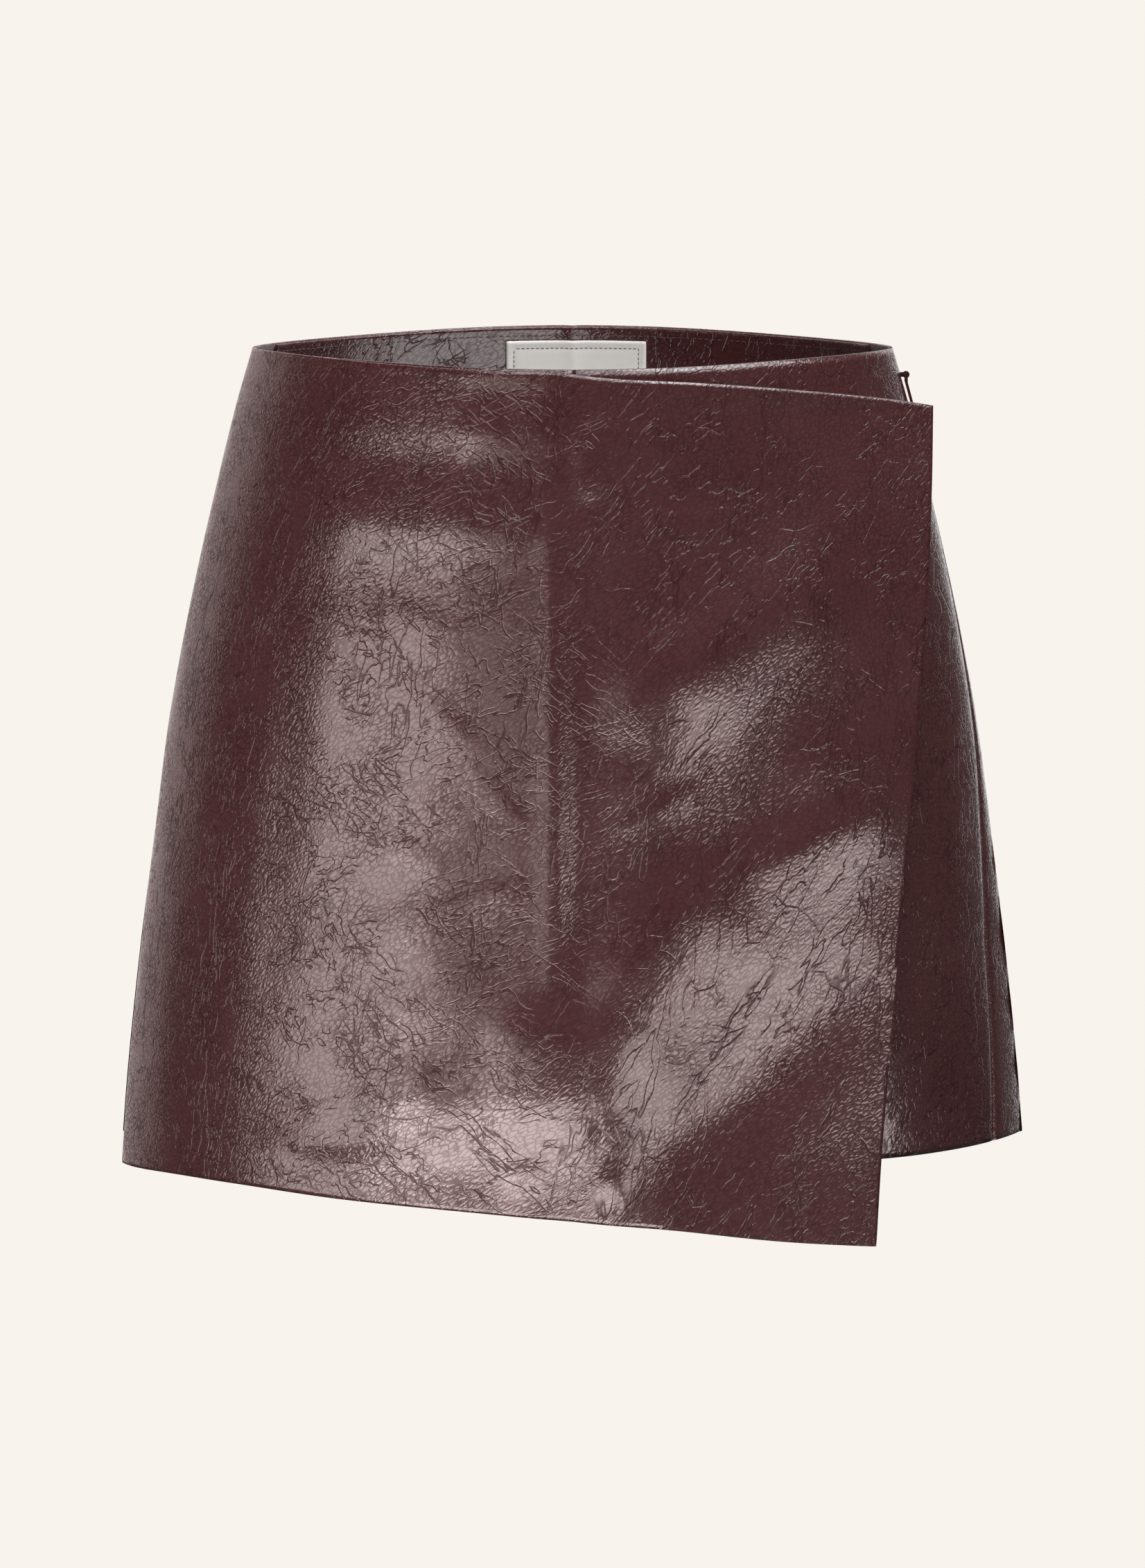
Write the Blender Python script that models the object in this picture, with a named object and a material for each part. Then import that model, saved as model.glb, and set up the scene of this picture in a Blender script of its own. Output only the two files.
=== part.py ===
"""A wrap-front mini skort in a stiff leather-look cloth, as it stands when it is filled out.

Units are metres and +Z is up.  The origin is the centre of the waist opening, which the wearer
holds.  The front faces -Y, and "left" and "right" are those of somebody who looks at the front.
The garment is a pair of short, wide shorts cut in four quarters, and a wrap panel over them that
is sewn into the left side seam and free along its other edge.  Every panel is a closed wall.
"""
import math

import bpy
import numpy as np
from mathutils import Matrix

MM = 0.001

# ---- driving sizes -------------------------------------------------------------------------
WALL = 1.5 * MM             # cloth of the panels
FACING_WALL = 1.2 * MM
LABEL_WALL = 1.0 * MM
TAPE_WALL = 1.0 * MM
GAP = 0.3 * MM              # between a piece and what it lies on
SEAM_GAP = 0.42 * MM        # between the lines of two panels that are sewn to each other
SHORTS_HEM = -335.0 * MM    # height of the hem of the shorts below the waist
FORK_TOP = -150.0 * MM      # where the centre seams start to curve towards the crotch
CROTCH_Z = -256.0 * MM
CROTCH_Y = 14.0 * MM
LEG_GAP = 12.0 * MM         # from the middle plane to each leg's inner side at the hem
FLAP_ROWS = 26
FLAP_COLUMNS = 34
FLAP_LIFT = 3.6 * MM        # the wrap panel's outer face ahead of the shorts at the centre front
UNDER_INSET = 2.3 * MM      # the left shorts front lies this far inside the wrap panel's line

# Rings of the trunk in mm: height, half of the width, depth before and behind the side plane,
# how pointed the side is in front and behind (1 an ellipse, 2 a lens), and how far ahead of the
# side plane the right side seam runs.
RING_COLUMNS = ("z", "half_width", "front", "back", "front_pinch", "back_pinch", "seam_ahead")
RINGS = (
    (0.0, 135.6, 98.0, 98.5, 1.42, 1.40, 0.0),
    (-20.0, 141.4, 100.0, 103.5, 1.40, 1.36, 0.0),
    (-60.0, 151.3, 104.0, 112.0, 1.38, 1.28, 0.0),
    (-110.0, 162.4, 108.5, 120.0, 1.36, 1.20, 2.0),
    (-160.0, 171.6, 111.5, 125.0, 1.35, 1.14, 6.0),
    (-210.0, 178.2, 113.0, 126.0, 1.35, 1.12, 11.0),
    (-260.0, 184.4, 114.0, 123.5, 1.35, 1.10, 16.0),
    (-310.0, 189.6, 115.0, 119.0, 1.36, 1.10, 22.0),
    (-370.0, 194.0, 116.0, 114.0, 1.36, 1.10, 29.0),
)
# Legs in mm: height, depth before and behind the side plane, and how pointed they are on the
# inner side and on the outer side in front and behind.
LEG_COLUMNS = ("z", "front", "back", "inner_pinch", "front_pinch", "back_pinch")
LEGS = (
    (-210.0, 104.0, 117.0, 0.90, 2.10, 1.70),
    (-250.0, 99.0, 113.0, 0.90, 2.00, 1.55),
    (-290.0, 92.0, 109.0, 0.95, 1.85, 1.42),
    (-335.0, 85.0, 104.5, 1.00, 1.70, 1.32),
)
FORK_FRONT = 9.0 * MM       # how far the cloth over the fork stands out, in front
FORK_BACK = 11.0 * MM       # and behind
SEAT_FULLNESS = 9.0 * MM    # how far it stands out behind the middle of each leg, a little higher
UNDER_BLEND = 6.0 * MM      # softness of the limit that keeps the legs behind the wrap panel
WAIST_WAVE = 1.0 * MM       # the waist rises this much in front of the sides and dips behind them
# The wrap panel's top edge and hem in mm, by the share of the way from the centre front to the
# left seam (-1) and to the free edge (1).
FLAP_END_COLUMNS = ("across", "top", "hem")
FLAP_ENDS = (
    (-1.00, 0.0, -348.0),
    (-0.90, 0.7, -346.2),
    (-0.75, 0.8, -345.8),
    (-0.52, 0.2, -347.6),
    (-0.25, -0.5, -350.0),
    (-0.04, -0.8, -352.8),
    (0.06, -2.7, -354.3),
    (0.34, -6.2, -357.8),
    (0.72, -13.8, -363.8),
    (1.00, -21.0, -367.5),
)
# The free edge in mm: height, place, and the direction in which the panel reaches it.
FREE_EDGE_COLUMNS = ("z", "x", "y", "slope_deg")
FREE_EDGE = (
    (-21.0, 151.3, -36.0, 33.0),
    (-54.0, 150.6, -46.0, 32.0),
    (-110.0, 147.7, -61.0, 31.0),
    (-160.0, 143.6, -70.0, 30.0),
    (-210.0, 139.3, -77.5, 29.0),
    (-260.0, 135.2, -84.0, 28.0),
    (-310.0, 130.8, -89.0, 26.0),
    (-367.5, 124.0, -93.5, 24.0),
)
# Soft folds of the wrap panel in mm: where each lies, its half lengths along and across, the
# angle of its length above level, and how far it stands out (or in, below zero).
FOLD_COLUMNS = ("x", "z", "along", "across", "angle_deg", "out")
FLAP_FOLDS = (
    (-20.0, -34.0, 85.0, 9.0, 1.0, 0.7),        # roll under the waist
    (-15.0, -50.0, 85.0, 5.0, 0.0, -0.8),       # end of the turning inside it
    (-10.0, -150.0, 75.0, 5.0, 90.0, 1.1),      # the centre seam below shows through
    (7.0, -165.0, 60.0, 10.0, 90.0, -1.5),
    (-12.0, -262.0, 26.0, 11.0, 25.0, -2.2),
    (60.0, -158.0, 58.0, 12.0, 46.0, 2.2),      # drag folds up to the free edge
    (68.0, -196.0, 58.0, 10.0, 38.0, -1.6),
    (82.0, -222.0, 62.0, 14.0, 30.0, 2.2),
    (0.0, -314.0, 70.0, 24.0, 4.0, 2.6),        # the hem's swell
    (-75.0, -190.0, 90.0, 30.0, 88.0, 1.5),
    (-122.0, -205.0, 110.0, 16.0, 86.0, -0.9),
)
BACK_FOLDS = (
    (58.0, -222.0, 60.0, 16.0, 20.0, -1.1),
    (70.0, -262.0, 55.0, 18.0, 12.0, 0.9),
    (40.0, -110.0, 60.0, 16.0, 78.0, 1.0),
    (-64.0, -232.0, 62.0, 15.0, -16.0, -1.0),
    (-52.0, -270.0, 50.0, 17.0, -10.0, 1.0),
    (-95.0, -130.0, 70.0, 14.0, 96.0, 1.2),
)
RIGHT_FRONT_FOLDS = (
    (150.0, -215.0, 80.0, 9.0, 84.0, -0.8),
)

FACING_DEPTH = 45.0 * MM
FACING_TOP = 0.6 * MM
LABEL_SIZE = (60.0 * MM, 30.0 * MM)     # wide, tall
LABEL_PLACE = (1.6 * MM, 6.6 * MM)      # right of the centre back seam, below the top edge
LABEL_COLUMNS = 6
FACING_MARGIN = 2                       # columns of the back walls left bare beside each side seam
TAPE_WIDTH = 11.0 * MM
TAPE_START = 2.2 * MM                   # from the panel's edge to its tape
TAPE_SPAN = (-4.0 * MM, -184.0 * MM)    # heights
ZIP_MOUTH = 2.0 * MM                    # half of the seam's opening at the waist, above the slider
SLIDER_Z = -11.5 * MM                   # height of the pull's hinge
SLIDER_BACK = 4.8 * MM                  # its body lies this far behind the seam's outer line
SLIDER_WIDE = 3.6 * MM
SLIDER_THICK = 1.9 * MM
SLIDER_REACH = (-4.5 * MM, 3.5 * MM)    # its lower and upper end, from the hinge's height
NECK_ROOT = 0.9 * MM                    # the neck starts this deep in the body
NECK_THICK = 0.9 * MM
NECK_TALL = 2.0 * MM
HINGE_OUT = 1.9 * MM                    # the hinge's axis stands this far out of the seam
EYE_RADIUS = 1.5 * MM
EYE_BORE = 0.8 * MM
EYE_THICK = 1.4 * MM
EYE_SIDES = 16
PIN_SIDES = 12
PIN_RADIUS = 0.5 * MM
EAR_THICK = 0.9 * MM
EAR_HALF = 1.0 * MM
EAR_REACH = 1.6 * MM                    # how far the ears run into the plate
PULL_LENGTH = 20.0 * MM
PULL_WIDTH = 5.6 * MM
PULL_THICK = 1.2 * MM
PULL_START = 0.6 * MM                   # from the eye's rim to the plate
PULL_STEPS = 9
PULL_SWELL = (0.30, 0.98)               # the part of a half turn that the plate's width follows
PULL_DROP = 0.75 * MM                   # the plate lies this far nearer the cloth than the pin

LEATHER = (0.066, 0.023, 0.024)
LABEL_CLOTH = (0.60, 0.58, 0.55)
TAPE_CLOTH = (0.050, 0.020, 0.022)
DYED_METAL = (0.055, 0.018, 0.022)


# ---- tables and curves ---------------------------------------------------------------------
def column(columns, rows, name):
    return np.array([row[columns.index(name)] for row in rows])


def smooth_through(knots, values, at):
    """A cubic through the table's values, with each slope from its two neighbours."""
    order = np.argsort(knots)
    knots, values = knots[order], values[order]
    slopes = np.gradient(values, knots)
    at = np.clip(at, knots[0], knots[-1])
    cell = np.clip(np.searchsorted(knots, at) - 1, 0, len(knots) - 2)
    width = knots[cell + 1] - knots[cell]
    s = (at - knots[cell]) / width
    return (
        (1 + 2 * s) * (1 - s) ** 2 * values[cell]
        + s * (1 - s) ** 2 * width * slopes[cell]
        + s**2 * (3 - 2 * s) * values[cell + 1]
        - s**2 * (1 - s) * width * slopes[cell + 1]
    )


def ring(name, z):
    at = smooth_through(column(RING_COLUMNS, RINGS, "z"), column(RING_COLUMNS, RINGS, name), z / MM)
    return at if name.endswith("pinch") else at * MM


def leg(name, z):
    at = smooth_through(column(LEG_COLUMNS, LEGS, "z"), column(LEG_COLUMNS, LEGS, name), z / MM)
    return at if name.endswith("pinch") else at * MM


def flap_end(name, across):
    knots = column(FLAP_END_COLUMNS, FLAP_ENDS, "across")
    return smooth_through(knots, column(FLAP_END_COLUMNS, FLAP_ENDS, name), across) * MM


def free_edge(name, z):
    knots = column(FREE_EDGE_COLUMNS, FREE_EDGE, "z")
    at = smooth_through(knots, column(FREE_EDGE_COLUMNS, FREE_EDGE, name), z / MM)
    return at if name == "slope_deg" else at * MM


def smoothstep(t):
    t = np.clip(t, 0.0, 1.0)
    return t * t * (3 - 2 * t)


def relief(folds, x, z):
    """How far the folds of one table stand out at the places x, z of a panel."""
    out = np.zeros_like(x)
    for row in folds:
        fold = dict(zip(FOLD_COLUMNS, row))
        angle = math.radians(fold["angle_deg"])
        dx, dz = x / MM - fold["x"], z / MM - fold["z"]
        along = (dx * math.cos(angle) + dz * math.sin(angle)) / fold["along"]
        across = (dz * math.cos(angle) - dx * math.sin(angle)) / fold["across"]
        out += fold["out"] * np.exp(-0.5 * (1.8 * along) ** 4 - across**2)
    return out * MM


def unit(vectors):
    return vectors / np.maximum(np.linalg.norm(vectors, axis=-1, keepdims=True), 1e-12)


def even_rows(points, count):
    """Each row of points taken again at count + 1 places, evenly spaced along it."""
    steps = np.linalg.norm(np.diff(points, axis=1), axis=2)
    travelled = np.concatenate([np.zeros((len(points), 1)), np.cumsum(steps, axis=1)], axis=1)
    rows = []
    for row, far in zip(points, travelled):
        wanted = np.linspace(0, far[-1], count + 1)
        rows.append(np.stack([np.interp(wanted, far, row[:, axis]) for axis in range(3)], axis=1))
    return np.array(rows)


def normals_of(points, away_from):
    """Normals of a grid of points, turned away from the places away_from."""
    down, along = np.gradient(points, axis=0), np.gradient(points, axis=1)
    normals = unit(np.cross(down, along))
    turned = np.sum(normals * (points - away_from), axis=2)
    return normals * (1.0 if turned.mean() > 0 else -1.0)


# ---- the garment's surfaces ----------------------------------------------------------------
ROWS = 20                   # of each shorts quarter, from the waist to the hem
CROTCH_ROW = 15             # the row that starts at the crotch
FORK_ROW = 7                # the row at which the centre seams start to curve
COLUMNS = 15                # of each shorts quarter, from the centre to the side
FINE = 160                  # points along a row before it is evened out


def half_rows(angle):
    """Rows of points of the right half at the angles 0 centre front, pi/2 side and pi centre back."""
    row = np.arange(ROWS + 1)
    curve = np.clip((row - FORK_ROW) / (CROTCH_ROW - FORK_ROW), 0, 1) * math.pi / 2
    inner_z = np.where(
        row <= FORK_ROW,
        FORK_TOP * row / FORK_ROW,
        FORK_TOP + (CROTCH_Z - FORK_TOP) * np.sin(curve),
    )
    below = np.clip((row - CROTCH_ROW) / (ROWS - CROTCH_ROW), 0, 1)
    inner_z = inner_z + (SHORTS_HEM - CROTCH_Z) * below
    outer_z = SHORTS_HEM * row / ROWS
    split = (1 - np.cos(curve))[:, None]        # 0 one trunk, 1 two legs
    inner_x = (LEG_GAP * below**0.7)[:, None]

    side = np.sin(angle) ** 2
    way = np.where(angle <= math.pi / 2, -1.0, 1.0)
    z = inner_z[:, None] + (outer_z - inner_z)[:, None] * side
    half = ring("half_width", z)
    depth = np.where(way < 0, ring("front", z), ring("back", z))
    pinch = np.where(way < 0, ring("front_pinch", z), ring("back_pinch", z))
    trunk_x = half * np.sin(angle)
    trunk_y = way * depth * np.abs(np.cos(angle)) ** pinch
    leg_depth = np.where(way < 0, leg("front", z), leg("back", z))
    outer_pinch = np.where(way < 0, leg("front_pinch", z), leg("back_pinch", z))
    leg_pinch = leg("inner_pinch", z) + (outer_pinch - leg("inner_pinch", z)) * side
    leg_x = (half + inner_x) / 2 - (half - inner_x) / 2 * np.cos(2 * angle)
    leg_y = CROTCH_Y * (1 - side) + way * leg_depth * np.abs(np.sin(2 * angle)) ** leg_pinch
    x = trunk_x + (leg_x - trunk_x) * split
    y = trunk_y + (leg_y - trunk_y) * split
    y += np.where(way < 0, -FORK_FRONT, FORK_BACK) * (1 - side) * 4 * split * (1 - split)
    seat = np.where(way < 0, 0.0, SEAT_FULLNESS) * np.sin(2 * angle) ** 2
    y += seat * 27 / 4 * split * (1 - split) ** 2
    # In front the legs stay behind the trunk's own line, which the wrap panel follows.
    line = -ring("front", z) * np.clip(1 - (x / half) ** 2, 0, 1) ** (ring("front_pinch", z) / 2)
    behind = (y + line + np.sqrt((y - line) ** 2 + (UNDER_BLEND * split) ** 2)) / 2
    y = np.where(way < 0, behind, y)
    z -= way * WAIST_WAVE * np.sin(math.pi * side) * (1 - row / ROWS)[:, None] ** 8
    return np.stack([x, y, z], axis=2)


def seam_angles(ahead):
    """The side seam's angle in each row, where the row is as far ahead as the table says."""
    angles = np.linspace(0.3 * math.pi, math.pi / 2, FINE + 1)
    rows = half_rows(np.repeat(angles[None, :], ROWS + 1, axis=0))
    wanted = -ahead * ring("seam_ahead", rows[:, -1, 2])
    return np.array([np.interp(y, row[:, 1], angles) for y, row in zip(wanted, rows)])


def half_shorts(ahead):
    """The front and the back panel's outer points of the right half, with their normals."""
    seam = seam_angles(ahead)[:, None]
    share = np.linspace(0, 1, FINE + 1)[None, :]
    panels = []
    for start, end in ((0.0 * seam, seam), (seam, math.pi + 0.0 * seam)):
        points = even_rows(half_rows(start + (end - start) * share), COLUMNS)
        middle = points.mean(axis=1, keepdims=True) * np.array([0.0, 0.0, 1.0])
        middle[:, :, 0] = 90.0 * MM
        panels.append([points, normals_of(points, middle)])
    return panels


def seam_frames(front, back):
    """Along the side seam: the direction that halves the corner, and the one across the seam."""
    (front_points, front_normals), (_, back_normals) = front, back
    out = unit(front_normals[:, -1] + back_normals[:, 0])
    down = unit(np.gradient(front_points[:, -1], axis=0))
    forward = unit(np.cross(out, down))
    forward *= np.where(forward[:, 1:2] > 0, -1.0, 1.0)
    return out, forward


def flap_rows(rows, columns):
    """Outer points of the wrap panel before its folds, row by row from its top edge."""
    share = np.linspace(0, 1, rows + 1)[:, None]
    across = np.linspace(-1, 1, 2 * FINE + 1)[None, :]
    top, hem = flap_end("top", across), flap_end("hem", across)
    z = top + (hem - top) * share
    ahead = ring("front", z) + FLAP_LIFT
    on_ring = np.clip(-across, 0, 1)
    ring_x = -ring("half_width", z) * on_ring
    ring_y = -ahead * np.sqrt(1 - on_ring**2) ** ring("front_pinch", z)

    s = np.clip(across, 0, 1)
    end_x, end_y = free_edge("x", z), free_edge("y", z)
    slope = np.radians(free_edge("slope_deg", z))
    reach = 0.34 * end_x
    curve_x = 3 * (1 - s) ** 2 * s * reach + 3 * (1 - s) * s**2 * (end_x - reach * np.cos(slope)) + s**3 * end_x
    curve_y = (
        (1 - s) ** 2 * (1 + 2 * s) * -ahead
        + 3 * (1 - s) * s**2 * (end_y - reach * np.sin(slope))
        + s**3 * end_y
    )
    left = across < 0
    points = np.stack([np.where(left, ring_x, curve_x), np.where(left, ring_y, curve_y), z], axis=2)
    return even_rows(points, columns)


# ---- walls ---------------------------------------------------------------------------------
def wall(name, outer, inner, material):
    """A closed wall between two grids of points, whose outer one is seen from outside."""
    rows, columns = outer.shape[:2]
    points = np.concatenate([outer.reshape(-1, 3), inner.reshape(-1, 3)])
    number = np.arange(rows * columns).reshape(rows, columns)
    back = number + rows * columns
    faces = []
    for r in range(rows - 1):
        for c in range(columns - 1):
            faces.append((number[r, c], number[r, c + 1], number[r + 1, c + 1], number[r + 1, c]))
            faces.append((back[r, c], back[r + 1, c], back[r + 1, c + 1], back[r, c + 1]))
    border = [(0, c) for c in range(columns)] + [(r, columns - 1) for r in range(1, rows)]
    border += [(rows - 1, c) for c in range(columns - 2, -1, -1)] + [(r, 0) for r in range(rows - 2, 0, -1)]
    for one, two in zip(border, border[1:] + border[:1]):
        faces.append((number[two], number[one], back[one], back[two]))
    make_object(name, points, faces, material)


def make_object(name, points, faces, material):
    mesh = bpy.data.meshes.new(name)
    mesh.from_pydata([tuple(p) for p in points], [], [tuple(int(i) for i in f) for f in faces])
    corners = np.array([[points[f[0]], points[f[1]], points[f[2]]] for f in faces])
    outward = [[points[f[0]], points[f[i]], points[f[i + 1]]] for f in faces for i in range(1, len(f) - 1)]
    if np.linalg.det(np.array(outward) - corners.mean(axis=(0, 1))).sum() < 0:
        mesh.flip_normals()
    mesh.materials.append(material)
    mesh.shade_smooth()
    mesh.set_sharp_from_angle(angle=math.radians(40))
    thing = bpy.data.objects.new(name, mesh)
    bpy.context.scene.collection.objects.link(thing)
    return thing


def finish(name, colour, roughness, metallic=0.0):
    material = bpy.data.materials.new(name)
    material.use_nodes = True
    shader = material.node_tree.nodes["Principled BSDF"]
    shader.inputs["Base Color"].default_value = (*colour, 1.0)
    shader.inputs["Roughness"].default_value = roughness
    shader.inputs["Metallic"].default_value = metallic
    material.diffuse_color = (*colour, 1.0)
    return material


def mouth(z):
    """Half of the side seam's gap at the height z: it opens above the zip's slider."""
    opened = smoothstep(1 - z / (1.6 * SLIDER_Z))
    return SEAM_GAP / 2 + (ZIP_MOUTH - SEAM_GAP / 2) * opened


def mirrored(points):
    return points * np.array([-1.0, 1.0, 1.0])


def shorts_wall(name, panel, face, seam, folds, side, inset, zipped, material):
    """One quarter of the shorts.  face is -1 for a front, 1 for a back; side is 1 for the right."""
    points, normals = panel
    points, normals = points.copy(), normals.copy()
    seam_out, seam_forward = seam
    side_column = -1 if face < 0 else 0
    middle_column = 0 if face < 0 else -1

    along = np.linspace(0, 1, COLUMNS + 1) if face < 0 else np.linspace(1, 0, COLUMNS + 1)
    fade = smoothstep(4 * (1 - along)) * smoothstep(4 * along)
    lift = relief(folds, side * points[:, :, 0], points[:, :, 2]) * fade[None, :]
    lift -= inset * smoothstep(along)[None, :]

    out = normals.copy()
    out[:, side_column] = seam_out
    flat = unit(normals[:, middle_column] * np.array([0.0, 1.0, 1.0]))
    out[: CROTCH_ROW, middle_column] = flat[: CROTCH_ROW]
    inseam = unit(normals[CROTCH_ROW:, middle_column] * np.array([1.0, 0.0, 0.25]))
    out[CROTCH_ROW:, middle_column] = inseam
    mitre = 1 / np.clip(np.sum(out * normals, axis=2), 0.6, 1.0)
    lift = lift * np.where(mitre > 1.0, mitre, 1.0)
    outer = points + out * lift[:, :, None]

    # The cloth stops half a seam's gap from the middle plane, the side seam and the inseam.
    outer[:, :, 0] = np.maximum(outer[:, :, 0], SEAM_GAP / 2)
    outer[CROTCH_ROW:, middle_column, 1] += face * SEAM_GAP / 2
    gap = mouth(points[:, side_column, 2]) if zipped else np.full(ROWS + 1, SEAM_GAP / 2)
    outer[:, side_column] += seam_forward * (-face * gap)[:, None]
    inner = outer - out * (WALL * mitre)[:, :, None]
    inner[:, :, 0] = np.maximum(inner[:, :, 0], SEAM_GAP / 2)
    if side < 0:
        outer, inner = mirrored(outer), mirrored(inner)
    wall(name, outer, inner, material)
    return inner


def flap_wall(rows, columns, seam, material):
    """The wrap panel, with its folds, from the left side seam to its free edge."""
    points = flap_rows(rows, columns)
    normals = normals_of(points, np.array([0.0, 40.0 * MM, -180.0 * MM]))
    from_seam = np.linalg.norm(points - points[:, :1], axis=2)
    lift = relief(FLAP_FOLDS, points[:, :, 0], points[:, :, 2]) * smoothstep(from_seam / (40.0 * MM))
    outer = points + normals * lift[:, :, None]
    out = normals.copy()
    seam_out, seam_forward = (mirrored(part) for part in seam)
    # The seam's frames belong to the rows of the shorts, and the wrap panel reaches lower.
    heights = SHORTS_HEM * np.arange(ROWS + 1) / ROWS
    for axis in range(3):
        at = np.clip(outer[:, 0, 2], SHORTS_HEM, 0)
        out[:, 0, axis] = np.interp(-at, -heights, seam_out[:, axis])
    forward = np.stack([np.interp(-at, -heights, seam_forward[:, axis]) for axis in range(3)], axis=1)
    outer[:, 0] += forward * SEAM_GAP / 2
    mitre = 1 / np.clip(np.sum(out * normals, axis=2), 0.6, 1.0)
    inner = outer - out * (WALL * mitre)[:, :, None]
    wall("front_flap", outer, inner, material)


# ---- pieces that lie on the inside of the panels --------------------------------------------
def between(values, at):
    """Entries of an array at fractional places along its first axis."""
    low = np.clip(np.floor(at).astype(int), 0, len(values) - 2)
    share = (np.asarray(at) - low).reshape(-1, *([1] * (values.ndim - 1)))
    return values[low] * (1 - share) + values[low + 1] * share


def rows_down(surface, high, low):
    """Fractional rows from one height to another down a grid's middle, each whole row between."""
    heights = surface[:, surface.shape[1] // 2, 2]
    first, last = np.interp([-high, -low], -heights, np.arange(len(heights)))
    whole = np.arange(math.floor(first) + 1, math.ceil(last))
    return np.concatenate([[first], whole, [last]])


def places_along(row, distances):
    """Points of one row of a grid at these distances from its first point."""
    far = np.concatenate([[0], np.cumsum(np.linalg.norm(np.diff(row, axis=0), axis=1))])
    return between(row, np.interp(distances, far, np.arange(len(row))))


def laid_on(name, surface, skip, thickness, material):
    """A piece on a wall's inner face, skip away from it.  Also gives the piece's own inner face."""
    normals = normals_of(surface, np.array([0.0, 0.0, -50.0 * MM]))
    outer = surface - normals * skip
    inner = outer - normals * thickness
    wall(name, outer, inner, material)
    return inner


def facing_wall(across_back, material):
    """The facing inside the back waist, from near the left side seam to the zip's tape."""
    rows = between(across_back, rows_down(across_back, -FACING_TOP, -FACING_DEPTH))
    surface = rows[:, FACING_MARGIN:-FACING_MARGIN]
    return laid_on("back_facing", surface, GAP, FACING_WALL, material)


def label_wall(facing_inner, material):
    wide, tall = LABEL_SIZE
    right, below = LABEL_PLACE
    rows = between(facing_inner, rows_down(facing_inner, -below, -below - tall))
    places = np.linspace(right - wide / 2, right + wide / 2, LABEL_COLUMNS + 1)
    surface = np.array([between(row, np.interp(places, row[:, 0], np.arange(len(row)))) for row in rows])
    return laid_on("label", surface, GAP, LABEL_WALL, material)


def tape_wall(name, from_seam, material):
    """One tape of the zip, on a panel's inner face whose first column is the side seam."""
    rows = between(from_seam, rows_down(from_seam[:, :2], *TAPE_SPAN))
    places = np.linspace(TAPE_START, TAPE_START + TAPE_WIDTH, 3)
    surface = np.array([places_along(row, places) for row in rows])
    return laid_on(name, surface, GAP, TAPE_WALL, material)


# ---- the zip's hard pieces -----------------------------------------------------------------
def disc(radius, sides, centre):
    angles = np.linspace(0, 2 * math.pi, sides, endpoint=False)
    return [(centre[0] + radius * math.cos(a), centre[1] + radius * math.sin(a)) for a in angles]


def box_outline(low_x, high_x, low_z, high_z):
    return [(low_x, low_z), (high_x, low_z), (high_x, high_z), (low_x, high_z)]


def prism(name, near, far, material):
    """A solid between two outlines of as many points."""
    count = len(near)
    faces = [tuple(range(count)), tuple(range(2 * count - 1, count - 1, -1))]
    faces += [(i, i + count, (i + 1) % count + count, (i + 1) % count) for i in range(count)]
    return make_object(name, np.array(list(near) + list(far)), faces, material)


def across_y(name, outline, low_y, high_y, material):
    near = [(x, low_y, z) for x, z in outline]
    return prism(name, near, [(x, high_y, z) for x, _, z in near], material)


def joined(name, pieces, cutters=()):
    """One solid out of several that overlap, less the cutters."""
    base = pieces[0]
    for operation, others in (("UNION", pieces[1:]), ("DIFFERENCE", cutters)):
        for other in others:
            modifier = base.modifiers.new(operation.lower(), "BOOLEAN")
            modifier.operation = operation
            modifier.object = other
            bpy.context.view_layer.update()
            graph = bpy.context.evaluated_depsgraph_get()
            whole = bpy.data.meshes.new_from_object(base.evaluated_get(graph))
            base.modifiers.clear()
            base.data = whole
            bpy.data.objects.remove(other)
    base.name = name
    base.data.name = name
    return base


def zip_slider(seam_x, hinge, material):
    """A body behind the seam, a neck through it and an eye outside."""
    half = EYE_THICK / 2
    back = seam_x - SLIDER_BACK
    low, high = SLIDER_REACH
    body = across_y(
        "slider_body",
        box_outline(back - SLIDER_THICK, back, SLIDER_Z + low, SLIDER_Z + high),
        -SLIDER_WIDE / 2,
        SLIDER_WIDE / 2,
        material,
    )
    neck_high = NECK_TALL / 2
    neck = across_y(
        "slider_neck",
        box_outline(
            back - NECK_ROOT,
            hinge[0] - (EYE_BORE + EYE_RADIUS) / 2,
            SLIDER_Z - neck_high,
            SLIDER_Z + neck_high,
        ),
        -NECK_THICK / 2,
        NECK_THICK / 2,
        material,
    )
    eye = across_y("slider_eye", disc(EYE_RADIUS, EYE_SIDES, hinge), -half, half, material)
    bore = across_y("eye_bore", disc(EYE_BORE, PIN_SIDES, hinge), -2 * half, 2 * half, material)
    joined("zip_slider", [body, neck, eye], [bore])


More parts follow.
